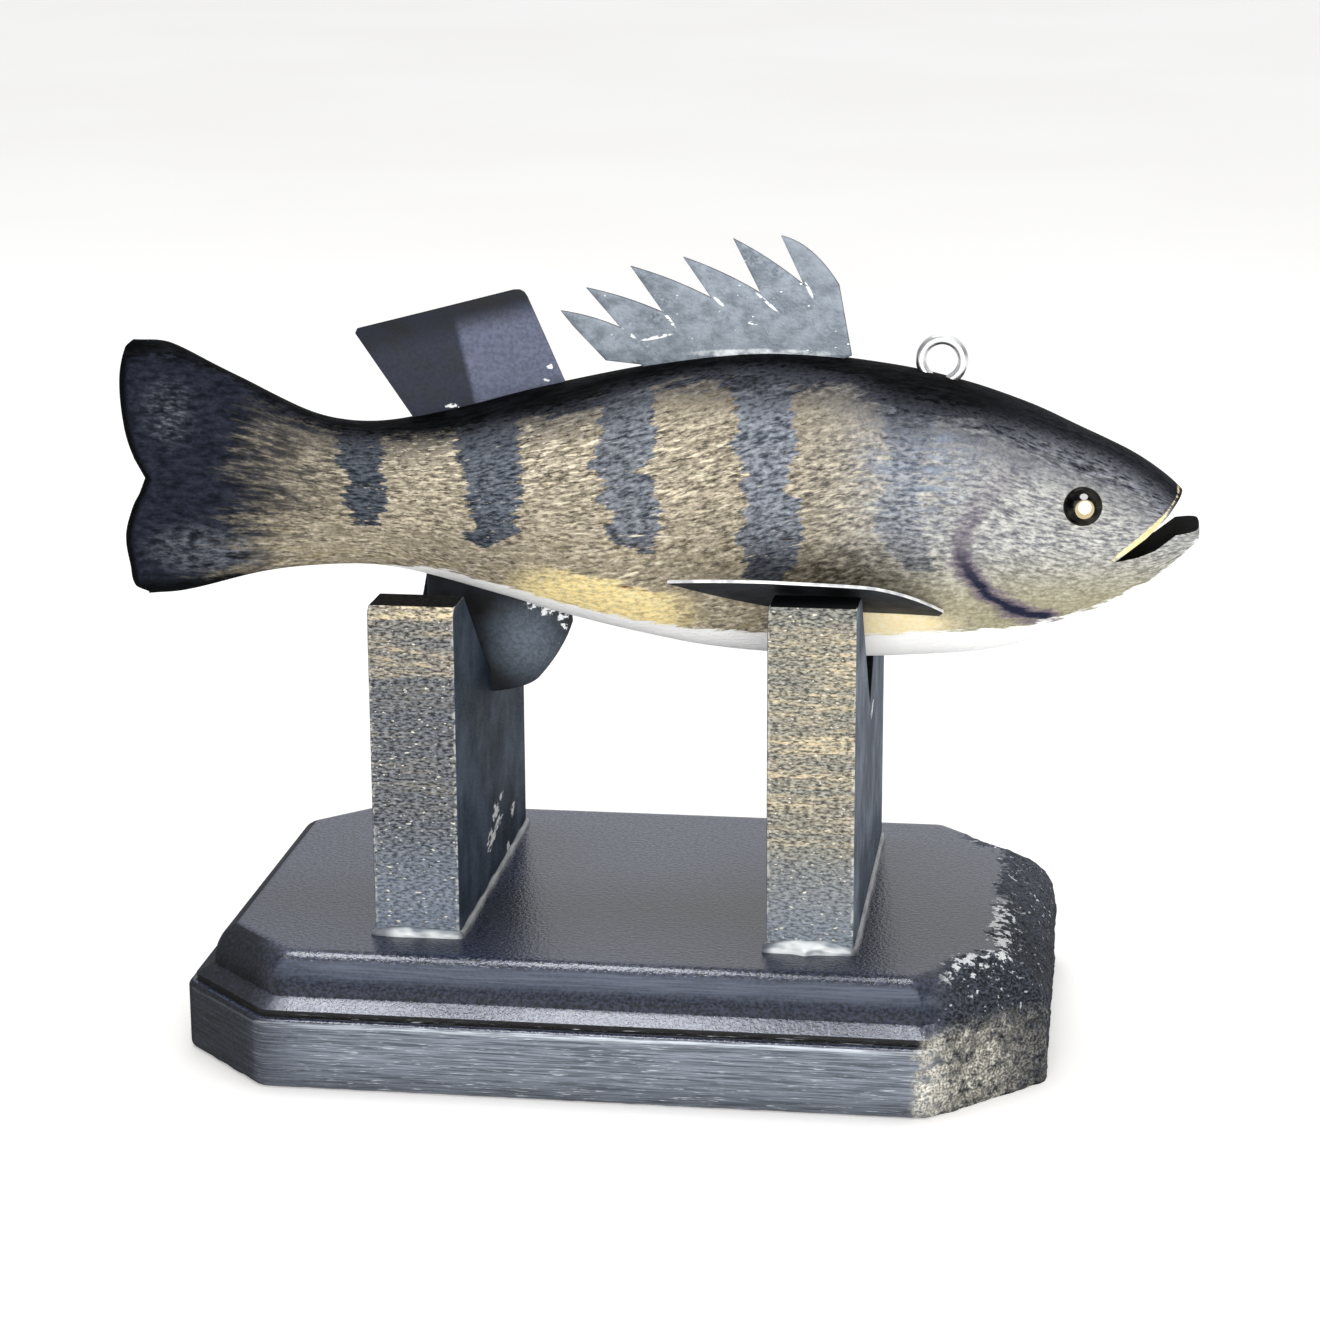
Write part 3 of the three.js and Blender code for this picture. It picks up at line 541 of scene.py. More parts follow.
# Oil paint dry-brushed on carved wood under satin varnish: short strokes along the fish leave every
# edge ragged, and the ground shows through as light flecks
def fishPaint():
    material, tree, shader, place = newFinish("fishPaintOnWood", Specular_IOR_Level=0.04)
    brush = addNode(tree, "Attribute", {"attribute_name": "brush"}, {}).outputs["Vector"]
    fine = marks(tree, brush, (2.2, 0.8, 0.9), 0.32, 0.68, 4.0)
    streak = marks(tree, brush, (7, 1.1, 1.2), 0.4, 0.66, 3.0)
    tongues = marks(tree, brush, (7, 1.3, 3), 0.3, 0.7, 4.0)
    broad = marks(tree, brush, (26, 7, 9))
    wild = marks(tree, place, (3.4, 3, 1.3), 0.3, 0.7, 3.0)
    grain = marks(tree, place, (0.9, 0.9, 0.7), 0.28, 0.72)
    level = addNode(tree, "Attribute", {"attribute_name": "fishLevel"}, {}).outputs["Fac"]
    barStrength = addNode(tree, "Attribute", {"attribute_name": "barStrength"}, {}).outputs["Fac"]
    along = addNode(tree, "SeparateXYZ", {}, {0: brush}).outputs["X"]
    toSnout = mask(tree, (along, 0.185, 0.215, 0, 1))
    paintedLightTowardHead = addNode(tree, "MapRange", {}, {0: along, 1: 0.055, 2: 0.15})
    gold = layCoats(tree, "514b43", [
        ("cfc4ae", fine), ("8f8360", (level, 2, -14, 0, 0.6), streak), ("8f8776", broad, streak)])
    silver = layCoats(tree, "686b72", [
        ("cdcdc9", fine), ("7b808b", (level, 4, 16, 0, 0.9), tongues),
        ("a19a78", (level, -3, -20, 0, 0.75))])
    # Bar paint is painted lighter towards the head and darker low on the flank: painted light and shade on
    # the bars
    barDark = layCoats(tree, "1b1f28", [("373e4b", paintedLightTowardHead)])
    barLight = layCoats(tree, "596069", [("9da4b0", paintedLightTowardHead)])
    barBlueAndPaintedLight = layCoats(tree, barDark, [(barLight, fine), ("1d212b", (level, 1, -12, 0, 0.7))])
    slate = layCoats(tree, "1b1d23", [(layCoats(tree, "4c4f58", [("848791", toSnout)]), fine)])
    black = layCoats(tree, "040506", [("15161a", streak), ("2c2d34", toSnout, fine)])
    tail = layCoats(tree, "12151d", [("2b2f3b", wild)])
    haze = layCoats(tree, "3b3f48", [("6b7078", fine)])
    area = {name: patch(tree, place, fishOrigin + centre, radii, inner)
            for name, (centre, radii, inner) in painting["areas"].items()}
    dabbed = mask(tree, area["flank"], (level, -12, 12, 0.1, 0.85))
    sideOrigin = fishOrigin[[0, 2]]
    painted = layCoats(tree, gold, [
        (silver, (along, 0.145, 0.195, 0, 1)),
        ("33312c", area["tailShade"], (tongues, 0.15, 0.85)),
        ("3f4146", area["wristShade"], (fine, 0.4, 0.1)),
        ("8b98ae", area["blueHaze"], streak),
        # Painted shade on the flank above the pectoral fin, where the fin keeps light off
        ("302b26", area["finShade"], (fine, 0.95, 0.35)),
        ("2b2723", marks(tree, brush, (3.1, 0.7, 0.8), 0.55, 0.66, 4.0), dabbed),
        ("f2e8d0", marks(tree, brush, (3.6, 0.8, 0.9), 0.53, 0.64, 4.0), dabbed),
        (barBlueAndPaintedLight, raggedEdge(tree, "barDepth", tongues, 2.6, -0.25, 0.35), barStrength),
        ("ffebac", area["yellow"], (fine, 0.5, 1.0),
         raggedEdge(tree, "whiteDepth", tongues, 2, -9.2, -8.2)),
        ("f7e8bf", area["cream"], raggedEdge(tree, "whiteDepth", tongues, 2, -6.5, -5)),
        ("655b6c", raggedEdge(tree, "gillAway", tongues, 1.6, 3.5, 0.9), (level, 12, -12, 0.25, 0.9)),
        ("23273a", raggedEdge(tree, "gillAway", tongues, 1.0, 1.5, 0.4), (level, 0, -14, 0, 1)),
        ("d9d3c4", marks(tree, brush, (2.6, 0.5, 0.8), 0.62, 0.72), area["flank"], streak),
        (slate, (raggedEdge(tree, "slateDepth", fine, 5, -4.5, 1.5), 0, 0.65)),
        (slate, raggedEdge(tree, "slateDepth", tongues, 5, 0.5, 3.5)),
        (black, raggedEdge(tree, "blackDepth", fine, 4, -2.6, 2.0)),
        (tail, (raggedEdge(tree, "tailDepth", tongues, 12, -19, 1), 0, 0.75)),
        (tail, raggedEdge(tree, "tailDepth", tongues, 9, -4, 5)),
        (haze, area["upperHaze"], wild, fine),
        (haze, area["lowerHaze"], wild),
        ("050608", raggedEdge(tree, "rimDepth", wild, 1.5, -2.0, 1.2)),
        (black, raggedEdge(tree, "blackDepth", fine, 2, 0, 3)),
        *[(tint, scratch(tree, place, sideOrigin + start, sideOrigin + end, width), streak)
          for start, end, width, tint in painting["scratches"]],
        ("ffffff", raggedEdge(tree, "whiteDepth", tongues, 1.4, -0.3, 0.4)),
        ("f4e3b4", raggedEdge(tree, "lipAway", fine, 0.3, 0.15, -0.15)),
    ])
    grainGrey = layCoats(tree, "8c8c8c", [("dadada", grain)])
    colour = addNode(tree, "Mix", {"data_type": "RGBA", "blend_type": "OVERLAY"}, {
        0: 0.5, 6: painted, 7: grainGrey})
    dressShader(tree, shader, colour, fine, (0.62, 0.8), fine, 0.09)
    return material


print("fish body")
# Bare pine of the upper lip, pale and dry
lipWood = plainFinish("bareWoodLip", (6, 0.5, 0.5), "e7cf96", "f7ecc9", (0.6, 0.8), 0.05)
# Black enamel brushed inside the lower jaw, with patches of dark grey painted in as a sheen
mouthEnamel = plainFinish("blackMouthEnamel", (5, 1.2, 1.2), "020203", "1c1e22", (0.85, 0.95), 0.05,
                          cut=(0.4, 0.75), Specular_IOR_Level=0.05)
fishBody = carveBody()
fishBody.data.materials.append(fishPaint())
cutMouth(fishBody, lipWood, mouthEnamel)
markOutPaint(fishBody)
placePiece(fishBody, "fish_paint_on_wood", "fish_body")
print("fish body", len(fishBody.data.polygons), [m.name for m in fishBody.data.materials])


# Sheet fins, drawn in hundredths of their own length from a point on the back or belly line
fins = {
    "sheet": 0.8, "wornEdge": 0.16, "spacing": 1.6,
    "spinyTips": [[-50.9, 22.5], [-35.5, 30.2], [-17.4, 33.6], [-0.3, 40.1], [16, 41.2]],
    "spinyRoots": [[-39, 8.8], [-24.3, 14.4], [-7.8, 19.7], [9.1, 21.6], [23.9, 24.6]],
    "spineFullness": 1.4, "analDrop": 72.3,
    "spiny": {"length": 63.9, "place": 0.577, "line": "backLine", "bow": 1.2},
    "soft": {"length": 47.3, "place": 0.349, "line": "backLine", "bow": 0.8},
    "anal": {"length": 33.6, "place": 0.349, "line": "bellyLine", "bow": 0.5},
    "pectoralLength": 57.9, "pectoralPlace": [0.698, -0.295], "pectoralTilt": math.radians(27.5),
    # Bright marks of the snips, from start to end as x and z of the whole part
    "snips": [
        ([-2.9, 156.8], [0.6, 153.9]), ([6.2, 160.6], [9.4, 156.4]), ([17.4, 163.8], [20, 161.4]),
        ([26.4, 165], [32, 160.2]), ([37.4, 167.4], [39.4, 163.4]), ([24.6, 158.2], [28, 157.8]),
        ([1, 153.6], [9, 155.4])],
}


# Six spines raked back: each has a straight rear edge and a front edge bent once near its middle
def spinyOutline(spacing):
    strokes = [[[-55.7, 9.2]], [[-59.9, 14.4]]]
    start = np.array([-59.9, 14.4])
    for root, tip in zip(fins["spinyRoots"], fins["spinyTips"]):
        middle = (start + root + fins["spineFullness"]) / 2 + [0, fins["spineFullness"] / 2]
        strokes += [[middle, root], [tip]]
        start = np.array(tip)
    strokes += [[[24.3, 39.4], [30.5, 33.2], [36, 24.7]], [[37.9, 14.4], [40.6, 0.6]],
                [[28.2, -4.4]], [[-28.2, -9.1]], [[-32.1, -3.9]], [[-44.3, -2.7]]]
    return drawOutline([-44.3, -2.7], strokes, spacing)[1:]


def softOutline(spacing):
    strokes = [[[-62.6, 30.7]], [[-63.6, 32.3], [-61.5, 33]], [[13.1, 52.4]], [[17.8, 53.3], [19.5, 49.3]],
               [[36.8, 9.9]], [[29.6, -8]], [[-21.1, -18.6]], [[-35.5, -9.3]]]
    return drawOutline([-35.5, -9.3], strokes, spacing)[1:]


def analOutline(spacing):
    drop = fins["analDrop"]
    strokes = [[[-44.6, -49.4]], [[-44.6, -drop], [-26.8, -drop]],
               [[0, -drop], [22.3, -68.8], [31.5, -60.4]], [[40.2, -50.9], [50.6, -36], [55.4, -20.2]],
               [[54.2, -9.2]], [[35.7, 4.2]], [[-29.8, 25]], [[-42.9, 14.6]]]
    return drawOutline([-42.9, 14.6], strokes, spacing)[1:]


def pectoralOutline(spacing):
    strokes = [[[-30.2, 1.7]], [[-39.7, 7.8], [-54.4, 19], [-68, 35.8]],
               [[-55.3, 38.7], [-41.5, 40.1], [-29.4, 39.6]], [[-13.8, 38], [0, 37.3], [7.8, 34.5]],
               [[18.1, 28.5], [25.9, 15.5], [32, 1.7]], [[29.4, -6]], [[-27.6, -6]]]
    return drawOutline([-27.6, -6], strokes, spacing)[1:]


# A fin in the fish's middle plane, its root on the fin's line at its place; bow is its sideways bend
def middleFin(name, outline, fin, finishes):
    length = fin["length"]
    x = fin["place"] * carving["length"]
    z = float(readLine(carving[fin["line"]], np.array([fin["place"]]))[0]) * carving["depth"]
    scale = length / 100

    def place(flat):
        drawn = flat * scale
        bend = fin["bow"] * (drawn[:, 1] / length) * np.sin(drawn[:, 0] * 4 / length)
        return np.stack([x + drawn[:, 0], bend, z + drawn[:, 1]], -1) + fishOrigin

    return makePlate(name, outline(fins["spacing"] / scale), place, fins["sheet"], fins["wornEdge"],
                     fins["spacing"] / scale, finishes)


# A pectoral fin leans out and up from the lower flank; side is -1 on the right
def pectoralFin(name, side, finishes):
    x, z = np.array(fins["pectoralPlace"]) * [carving["length"], carving["depth"]]
    y = float(flank(np.array([x]), np.array([z]))[0])
    tilt, scale = fins["pectoralTilt"], fins["pectoralLength"] / 100

    def place(flat):
        along, out = (flat * scale).T
        places = [x + along, side * (y + out * math.cos(tilt)), z + out * math.sin(tilt)]
        return np.stack(places, -1) + fishOrigin

    return makePlate(name, pectoralOutline(fins["spacing"] / scale), place, fins["sheet"], fins["wornEdge"],
                     fins["spacing"] / scale, finishes)


# Galvanised zinc sheet, weathered dull: cloudy mottling, small bright flecks and snip marks at the roots
def zincFinish():
    material, tree, shader, place = newFinish("weatheredZincSheet", Metallic=0.55)
    cloudy = marks(tree, place, (6, 6, 4), 0.36, 0.66, 4.0)
    fine = marks(tree, place, (0.9, 0.9, 0.7), 0.3, 0.7)
    broken = marks(tree, place, (1.4, 1.4, 1.0), 0.4, 0.5, 1.0)
    colour = layCoats(tree, "5e6670", [
        ("939ca7", cloudy),
        ("5e6771", fine, marks(tree, place, (11, 11, 8), 0.45, 0.65)),
        *[("f3f5f6", scratch(tree, place, start, end, 0.4), broken) for start, end in fins["snips"]],
        ("e4eaee", scratch(tree, place, [10, 151.0], [46, 151.6], 1.3), cloudy),
        ("dfe4e8", marks(tree, place, (1.5, 1.3, 0.8), 0.755, 0.79, 1.0)),
    ])
    dressShader(tree, shader, colour, cloudy, (0.38, 0.6), fine, 0.03)
    return material


# Black paint on thin sheet, rubbed and dusty: deep slate with a soft bloom, chipped to white metal. On the
# soft dorsal fin the lighter coat is painted light where the sheet is bent
def blackSheetFinish(name, dark, light, bloomAndPaintedLight, chips):
    material, tree, shader, place = newFinish(name, Specular_IOR_Level=0.25)
    cloudy = marks(tree, place, (7, 7, 5), 0.36, 0.66, 3.0)
    fine = marks(tree, place, (0.8, 0.8, 0.7), 0.3, 0.7)
    cloud = marks(tree, place, (1.2, 1.2, 0.8), 0.3, 0.7, 4.0)
    colour = layCoats(tree, dark[0], [
        (dark[1], cloudy),
        (light, bloomAndPaintedLight(tree, place), (fine, 0.6, 1.0)),
        *[("f2f4f7", flakes(tree, place, cloud, centre, radii)) for centre, radii in chips],
    ])
    dressShader(tree, shader, colour, cloudy, (0.5, 0.66), fine, 0.02)
    return material


# The soft dorsal fin is painted lighter in front of a slanting line, as painted light where the sheet is
# bent along it, and is darker along its top edge
def softFinPaintedBendLight(tree, place):
    x, _, z = addNode(tree, "SeparateXYZ", {}, {0: place}).outputs
    slanted = addNode(tree, "Math", {"operation": "MULTIPLY_ADD"}, {0: z, 1: 0.23, 2: x})
    risen = addNode(tree, "Math", {"operation": "MULTIPLY_ADD"}, {0: x, 1: -0.26, 2: z})
    return mask(tree, (slanted, -0.0045, -0.0027, 0.12, 0.9), (risen, 0.1695, 0.1625, 0, 1))


def analBloom(tree, place):
    return patch(tree, place, (-25, 0, 85), (13, 9, 13), 0.1)


def pectoralBloom(tree, place):
    return mask(tree, (marks(tree, place, (9, 5, 5)), 0, 1, 0, 0.35))


print("fins")
softFinish = blackSheetFinish("softDorsalBlackSheet", ("090c15", "191f2c"), "6b7189", softFinPaintedBendLight, [
    ((-40.9, 0, 138.3), (3.9, 3, 0.9)), ((-18.8, 0, 147.6), (1.4, 3, 1.1)), ((-20, 0, 144.5), (2, 3, 0.9))])
analFinish = blackSheetFinish("analFinBlackSheet", ("040507", "161b24"), "66717f", analBloom, [
    ((-23.2, 0, 93), (3.8, 3, 2.3)), ((-20, 0, 92), (4, 3, 2.7)), ((-16.9, 0, 91), (2.8, 3, 2.4)),
    ((-16.2, 0, 88.6), (1.5, 3, 1.4)), ((-17.8, 0, 84.6), (1.2, 3, 0.8))])
pectoralFinish = blackSheetFinish("pectoralBlackSheet", ("07080b", "191c22"), "43474f", pectoralBloom, [])
# Sheared edges of the sheet: bare metal with a little grime, painted over on the fins of the middle plane.
# On the pectoral fins the bare edge is painted near white, partly a painted highlight where it catches the
# light from above
darkEdge, paleEdgeAndPaintedHighlight = [
    plainFinish(name, (3, 3, 3), dull, bright, (0.3, 0.5), 0.02, cut=(0.35, 0.6), Metallic=0.3)
    for name, dull, bright in (
        ("darkShearedEdge", "0c0d11", "2a2d34"), ("shearedEdgeAndPaintedHighlight", "c9cdd2", "fbfbfb"))]
spinyFin = middleFin("spinyDorsalFin", spinyOutline, fins["spiny"], [zincFinish(), darkEdge])
softFin = middleFin("softDorsalFin", softOutline, fins["soft"], [softFinish, darkEdge])
analFin = middleFin("analFin", analOutline, fins["anal"], [analFinish, darkEdge])
rightFin = pectoralFin("pectoralFinRight", -1, [pectoralFinish, paleEdgeAndPaintedHighlight])
leftFin = pectoralFin("pectoralFinLeft", 1, [pectoralFinish, paleEdgeAndPaintedHighlight])
placePiece(spinyFin, "bare_zinc_sheet", "spiny_dorsal_fin")
placePiece(softFin, "black_painted_sheet", "soft_dorsal_fin")
placePiece(analFin, "black_painted_sheet", "anal_fin")
placePiece(rightFin, "black_painted_sheet", "pectoral_fin_right")
placePiece(leftFin, "black_painted_sheet", "pectoral_fin_left")


# Eyes: a dome turned about the way that the head's side faces
eyes = {"radius": 4.25, "dome": 2.3, "seat": 1.5, "place": [0.896, 0.057], "rings": 24, "around": 72}


# The way that the head's side faces at the eye, and the eye's place
def eyeFrame(side):
    x, z = np.array(eyes["place"]) * [carving["length"], carving["depth"]]

    def out(dx, dz):
        return float(flank(np.array([x + dx]), np.array([z + dz]))[0])

    outward = Vector((out(-1, 0) / 2 - out(1, 0) / 2, side, out(0, -1) / 2 - out(0, 1) / 2)).normalized()
    place = Vector((x, side * out(0, 0), z)) + Vector(fishOrigin)
    return outward, place


# Profile from the seat's middle out, up the wall and over a quarter ellipse, carried round the eye's axis
def makeEye(name, side, finish):
    radius, dome, seat, rings, around = (eyes[k] for k in ("radius", "dome", "seat", "rings", "around"))
    rise = np.linspace(0, math.pi / 2, rings)[:-1]
    out = np.concatenate([[radius], radius * np.cos(rise)])
    up = np.concatenate([[-seat], dome * np.sin(rise)])
    turn = 2 * math.pi * np.arange(around) / around
    ring = np.stack([out[:, None] * np.cos(turn), out[:, None] * np.sin(turn),
                     np.repeat(up[:, None], around, 1)], -1).reshape(-1, 3)
    outward, place = eyeFrame(side)
    turned = Vector((0, 0, 1)).rotation_difference(outward).to_matrix()
    points = np.concatenate([ring, [[0, 0, dome]]]) @ np.array(turned).T + np.array(place)
    last = (len(out) - 1) * around
    tip = [[last + k, last + (k + 1) % around, len(points) - 1] for k in range(around)]
    eye = makeMesh(name, points, ringQuads(len(out), around) + tip + [list(range(around))])
    eye.data.materials.append(finish)
    settleMesh(eye, 50)
    return eye


print("eyes")
# Black glass, fire polished: deep black with a clean small reflection
eyeFinish = plainFinish("blackGlass", (2, 2, 2), "000000", "020202", (0.05, 0.08), 0.001,
                        Specular_IOR_Level=0.12)
rightEye = makeEye("glassEyeRight", -1, eyeFinish)
leftEye = makeEye("glassEyeLeft", 1, eyeFinish)
placePiece(rightEye, "black_glass", "eye_right")
placePiece(leftEye, "black_glass", "eye_left")


# Screw eye: round wire carried up its shank, round the loop and back to just short of the shank. shank
# lists points on it by how far they are across and below the loop.
screwEye = {
    "radius": 4.55, "wire": 2.35, "sink": 2.4, "place": 0.766,
    "shank": [[0, 8.0], [0, 3.4], [0.15, 2], [0.7, 0.75]],
    "start": math.radians(-58), "end": math.radians(243), "steps": 150, "around": 28,
}


def makeScrewEye():
    radius, wire = screwEye["radius"], screwEye["wire"] / 2
    turn = np.linspace(screwEye["start"], screwEye["end"], 40)
    shank = [[across, -radius - below] for across, below in screwEye["shank"]]
    knots = np.concatenate([shank, radius * np.stack([np.cos(turn), np.sin(turn)], -1)])
    gaps = np.linalg.norm(np.diff(knots, axis=0), axis=1)
    reach = np.concatenate([[0], np.cumsum(gaps)])
    even = np.linspace(0, reach[-1], screwEye["steps"])
    path = np.stack([readLine(np.stack([reach, knots[:, k]], -1), even) for k in (0, 1)], -1)
    ahead = unit(np.gradient(path, axis=0))
    fromEnd = np.minimum(even, reach[-1] - even)
    taper = np.sqrt(np.clip(1 - (1 - fromEnd / (wire * 0.6)).clip(0, 1) ** 2, 0, 1))
    angle = 2 * math.pi * np.arange(screwEye["around"]) / screwEye["around"]
    size = (wire * np.maximum(taper, 0.05))[:, None]
    x = path[:, :1] - ahead[:, 1:] * size * np.cos(angle)
    z = path[:, 1:] + ahead[:, :1] * size * np.cos(angle)
    y = size * np.sin(angle) + 0 * x
    share = screwEye["place"]
    backLevel = float(readLine(carving["backLine"], np.array([share]))[0]) * carving["depth"]
    centre = fishOrigin + [share * carving["length"], 0, backLevel + radius + wire - screwEye["sink"]]
    points = np.stack([x, y, z], -1).reshape(-1, 3) + centre
    ring = makeMesh("screwEyeLoop", points, tubeFaces(screwEye["steps"], screwEye["around"]))
    settleMesh(ring, 40)
    return ring


print("screw eye")
loop = makeScrewEye()
# Bright zinc-plated steel wire: mirror-like with faint drawing lines
loop.data.materials.append(
    plainFinish("brightPlatedWire", (3, 0.6, 3), "e2e4e6", "f7f8f8", (0.28, 0.4), 0.01, Metallic=1.0))
placePiece(loop, "plated_wire", "screw_eye")


# Uprights: boards on edge with a notch in the top
uprights = {
    "thickness": 19.0, "depth": 82.0, "notchHalf": 29.0, "tipRadius": 1.2, "corner": 1.5,
    "foot": 28.05, "wornEdge": 0.6, "wearLow": 28, "wearHigh": 105,
    "rear": {"x": -42.8, "top": 102.05, "notchBottom": 77.2},
    "front": {"x": 43.4, "top": 104.25, "notchBottom": 71.85},
}


# Outline across the fish: straight sides, rounded outer corners and a notch running to a small round
def uprightOutline(post):
    half, top, foot = uprights["depth"] / 2, post["top"], uprights["foot"]
    corner = uprights["corner"]
    slope = math.atan2(uprights["notchHalf"], top - post["notchBottom"])
    tipY = uprights["tipRadius"] * math.cos(slope)
    rise = tipY / math.tan(slope)
    tipZ = post["notchBottom"] + rise / 2
    strokes = [[[half, foot]], [[half, top - corner]], [[half, top], [half - corner, top]],
               [[uprights["notchHalf"], top]], [[tipY, tipZ]],
               [[0, post["notchBottom"] - rise / 2], [-tipY, tipZ]], [[-uprights["notchHalf"], top]],
               [[-half + corner, top]], [[-half, top], [-half, top - corner]], [[-half, foot]]]
    return drawOutline([-half, foot], strokes, 3.0)[1:]


def makeUpright(name, post, finish, node):
    x = post["x"]
    board = makePlate(name, uprightOutline(post), lambda flat: np.insert(flat, 0, x, axis=1),
                      uprights["thickness"], uprights["wornEdge"], 4.0, [finish])
    placePiece(board, "worn_painted_wood", node)


# Paint sanded back across the grain on the two narrow faces: cream and gold streaks between bands of
# grey-green, speckled where the wood's pores held the paint. The broad faces are near black.
# wear lists heights in millimetres with how much is rubbed through there.
def uprightFinish(name, post, wear, blend, dark, chips):
    material, tree, shader, place = newFinish(name, Specular_IOR_Level=0.06)
    x, y, z = addNode(tree, "SeparateXYZ", {}, {0: place}).outputs
    low, high = uprights["wearLow"], uprights["wearHigh"]
    share = addNode(tree, "MapRange", {}, {0: z, 1: low * mm, 2: high * mm})
    ramp = addNode(tree, "ValToRGB", {}, {0: share})
    spots = ramp.color_ramp.elements
    spots.remove(spots[0])
    for k, (height, worn) in enumerate(wear):
        at = (height - low) / (high - low)
        spot = spots.new(at) if k else spots[0]
        spot.position = at
        spot.color = (worn, worn, worn, 1)
    across = marks(tree, place, (30, 9, 2.0), 0.4, 0.6, 4.0)
    pores = marks(tree, place, (1.3, 1.0, 0.5), 0.36, 0.64, 4.0)
    gold = marks(tree, place, (3.2, 3, 0.6), 0.52, 0.6, 4.0)
    chipped = marks(tree, place, (1.3, 3.4, 1.8), 0.5, 0.55, 4.0)
    torn = marks(tree, place, (1.3, 4, 1.2), 0.3, 0.7, 4.0)
    fromMiddle = addNode(tree, "Math", {"operation": "SUBTRACT"}, {0: x, 1: post["x"] * mm})
    sideways = addNode(tree, "Math", {"operation": "ABSOLUTE"}, {0: fromMiddle})
    nearEdge = addNode(tree, "MapRange", {}, {0: sideways, 1: 0.0085, 2: 0.0093, 4: 0.55})
    narrow = layCoats(tree, blend[0], [
        (blend[1], pores),
        ("93a1b5", (z, 0.058, 0.030, 0, 0.7), (pores, 0.4, 1.0)),
        (layCoats(tree, "5c564a", [("efe0bf", pores)]), ramp, (across, 0.3, 1.0)),
        ("f8e4bd", ramp, gold, across),
        ("efe9da", marks(tree, place, (1.6, 1.0, 0.7), 0.66, 0.72, 1.0)),
        ("f4f1e8", nearEdge, chipped),
    ])
    broad = layCoats(tree, dark[0], [
        (dark[1], marks(tree, place, (7, 14, 14), 0.3, 0.8)),
        *[("ffffff", flakes(tree, place, torn, centre, radii)) for centre, radii in chips],
    ])
    normal = addNode(tree, "NewGeometry", {}, {}).outputs["Normal"]
    facingX, _, facingZ = addNode(tree, "SeparateXYZ", {}, {0: normal}).outputs
    facing = addNode(tree, "Math", {"operation": "ABSOLUTE"}, {0: facingX})
    isNarrow = mask(tree, (facing, 0.85, 0.6, 0, 1))
    fromPlane = addNode(tree, "Math", {"operation": "ABSOLUTE"}, {0: y})
    inNotch = addNode(tree, "MapRange", {}, {0: fromPlane, 1: 0.0385, 2: 0.0375})
    # Top faces are near black; inside the notch the narrow faces are painted near black: painted shade in
    # the recess
    colour = layCoats(tree, broad, [
        (narrow, isNarrow), ("08090c", (facingZ, 0.9, 0.97, 0, 1)), ("0e1013", inNotch, isNarrow)])
    dressShader(tree, shader, colour, pores, (0.55, 0.75), pores, 0.14)
    return material


print("uprights")
rearWear = [(28, 0.03), (52, 0.07), (70, 0.12), (80, 0.05), (86, 0.12), (88.5, 0.85), (91, 0.3), (95, 0.45),
            (98, 0.7), (101, 0.9)]
frontWear = [(28, 0.0), (48, 0.05), (50.5, 0.12), (53, 0.45), (57, 0.3), (59.5, 0.8), (61.5, 0.6),
             (64.3, 0.15), (66.5, 0.8), (69.8, 0.2), (73, 0.7), (76, 0.75), (79.7, 0.2), (84, 0.85),
             (87, 0.4), (93, 0.5), (97, 0.6), (100, 0.2), (104, 0.05)]
# Centres and radii of the chips
rearChips = [
    ((-33.3, 2, 43.2), (3, 7.5, 3.4)), ((-33.3, -2.7, 38.6), (3, 9.5, 4.6)),
    ((-33.3, 6, 39.6), (3, 8.5, 2.5)), ((-33.3, 24, 37), (3, 5, 3.4)),
    ((-33.3, 10, 44.8), (3, 5.5, 1.6)), ((-33.3, 17, 30), (3, 6, 2))]
rearFinish = uprightFinish("rearUprightWornPaint", uprights["rear"], rearWear,
                           ("272b32", "80868f"), ("2f3946", "566274"), rearChips)
frontFinish = uprightFinish("frontUprightWornPaint", uprights["front"], frontWear,
                            ("434544", "a4a6a0"), ("545c6a", "858f9c"), [((52.9, 5, 70), (3, 9, 3))])
makeUpright("rearUpright", uprights["rear"], rearFinish, "rear_post")
makeUpright("frontUpright", uprights["front"], frontFinish, "front_post")


# Plaque: a routed profile carried round a clipped board. fullEdge gives heights on the torn end with the
# inset that the edge has there.
plaque = {
    "length": 190.0, "width": 127.0, "thickness": 28.0, "rearCut": 21.5, "frontCut": 24.5,
    "arris": 1.2, "land": 15.5, "landWidth": 0.6, "quirk": 1.7, "slopeWidth": 3.8, "slopeHeight": 2.0,
    "roundWidth": 5.9, "footRound": 1.2, "wallCorner": 5.0, "upperCorner": 2.8, "cornerBlend": 2.4,
    "spacing": 1.1, "tornFrom": 69, "tornOver": 6, "tornInset": 13.5, "roughFrom": 76, "roughOver": 12,
    "fullEdge": [[14, 0], [16, 0.2], [19, 0.7], [21, 1.5], [23, 3], [25, 5.2], [26.6, 8], [27.4, 10],
                 [28, 12]],
}


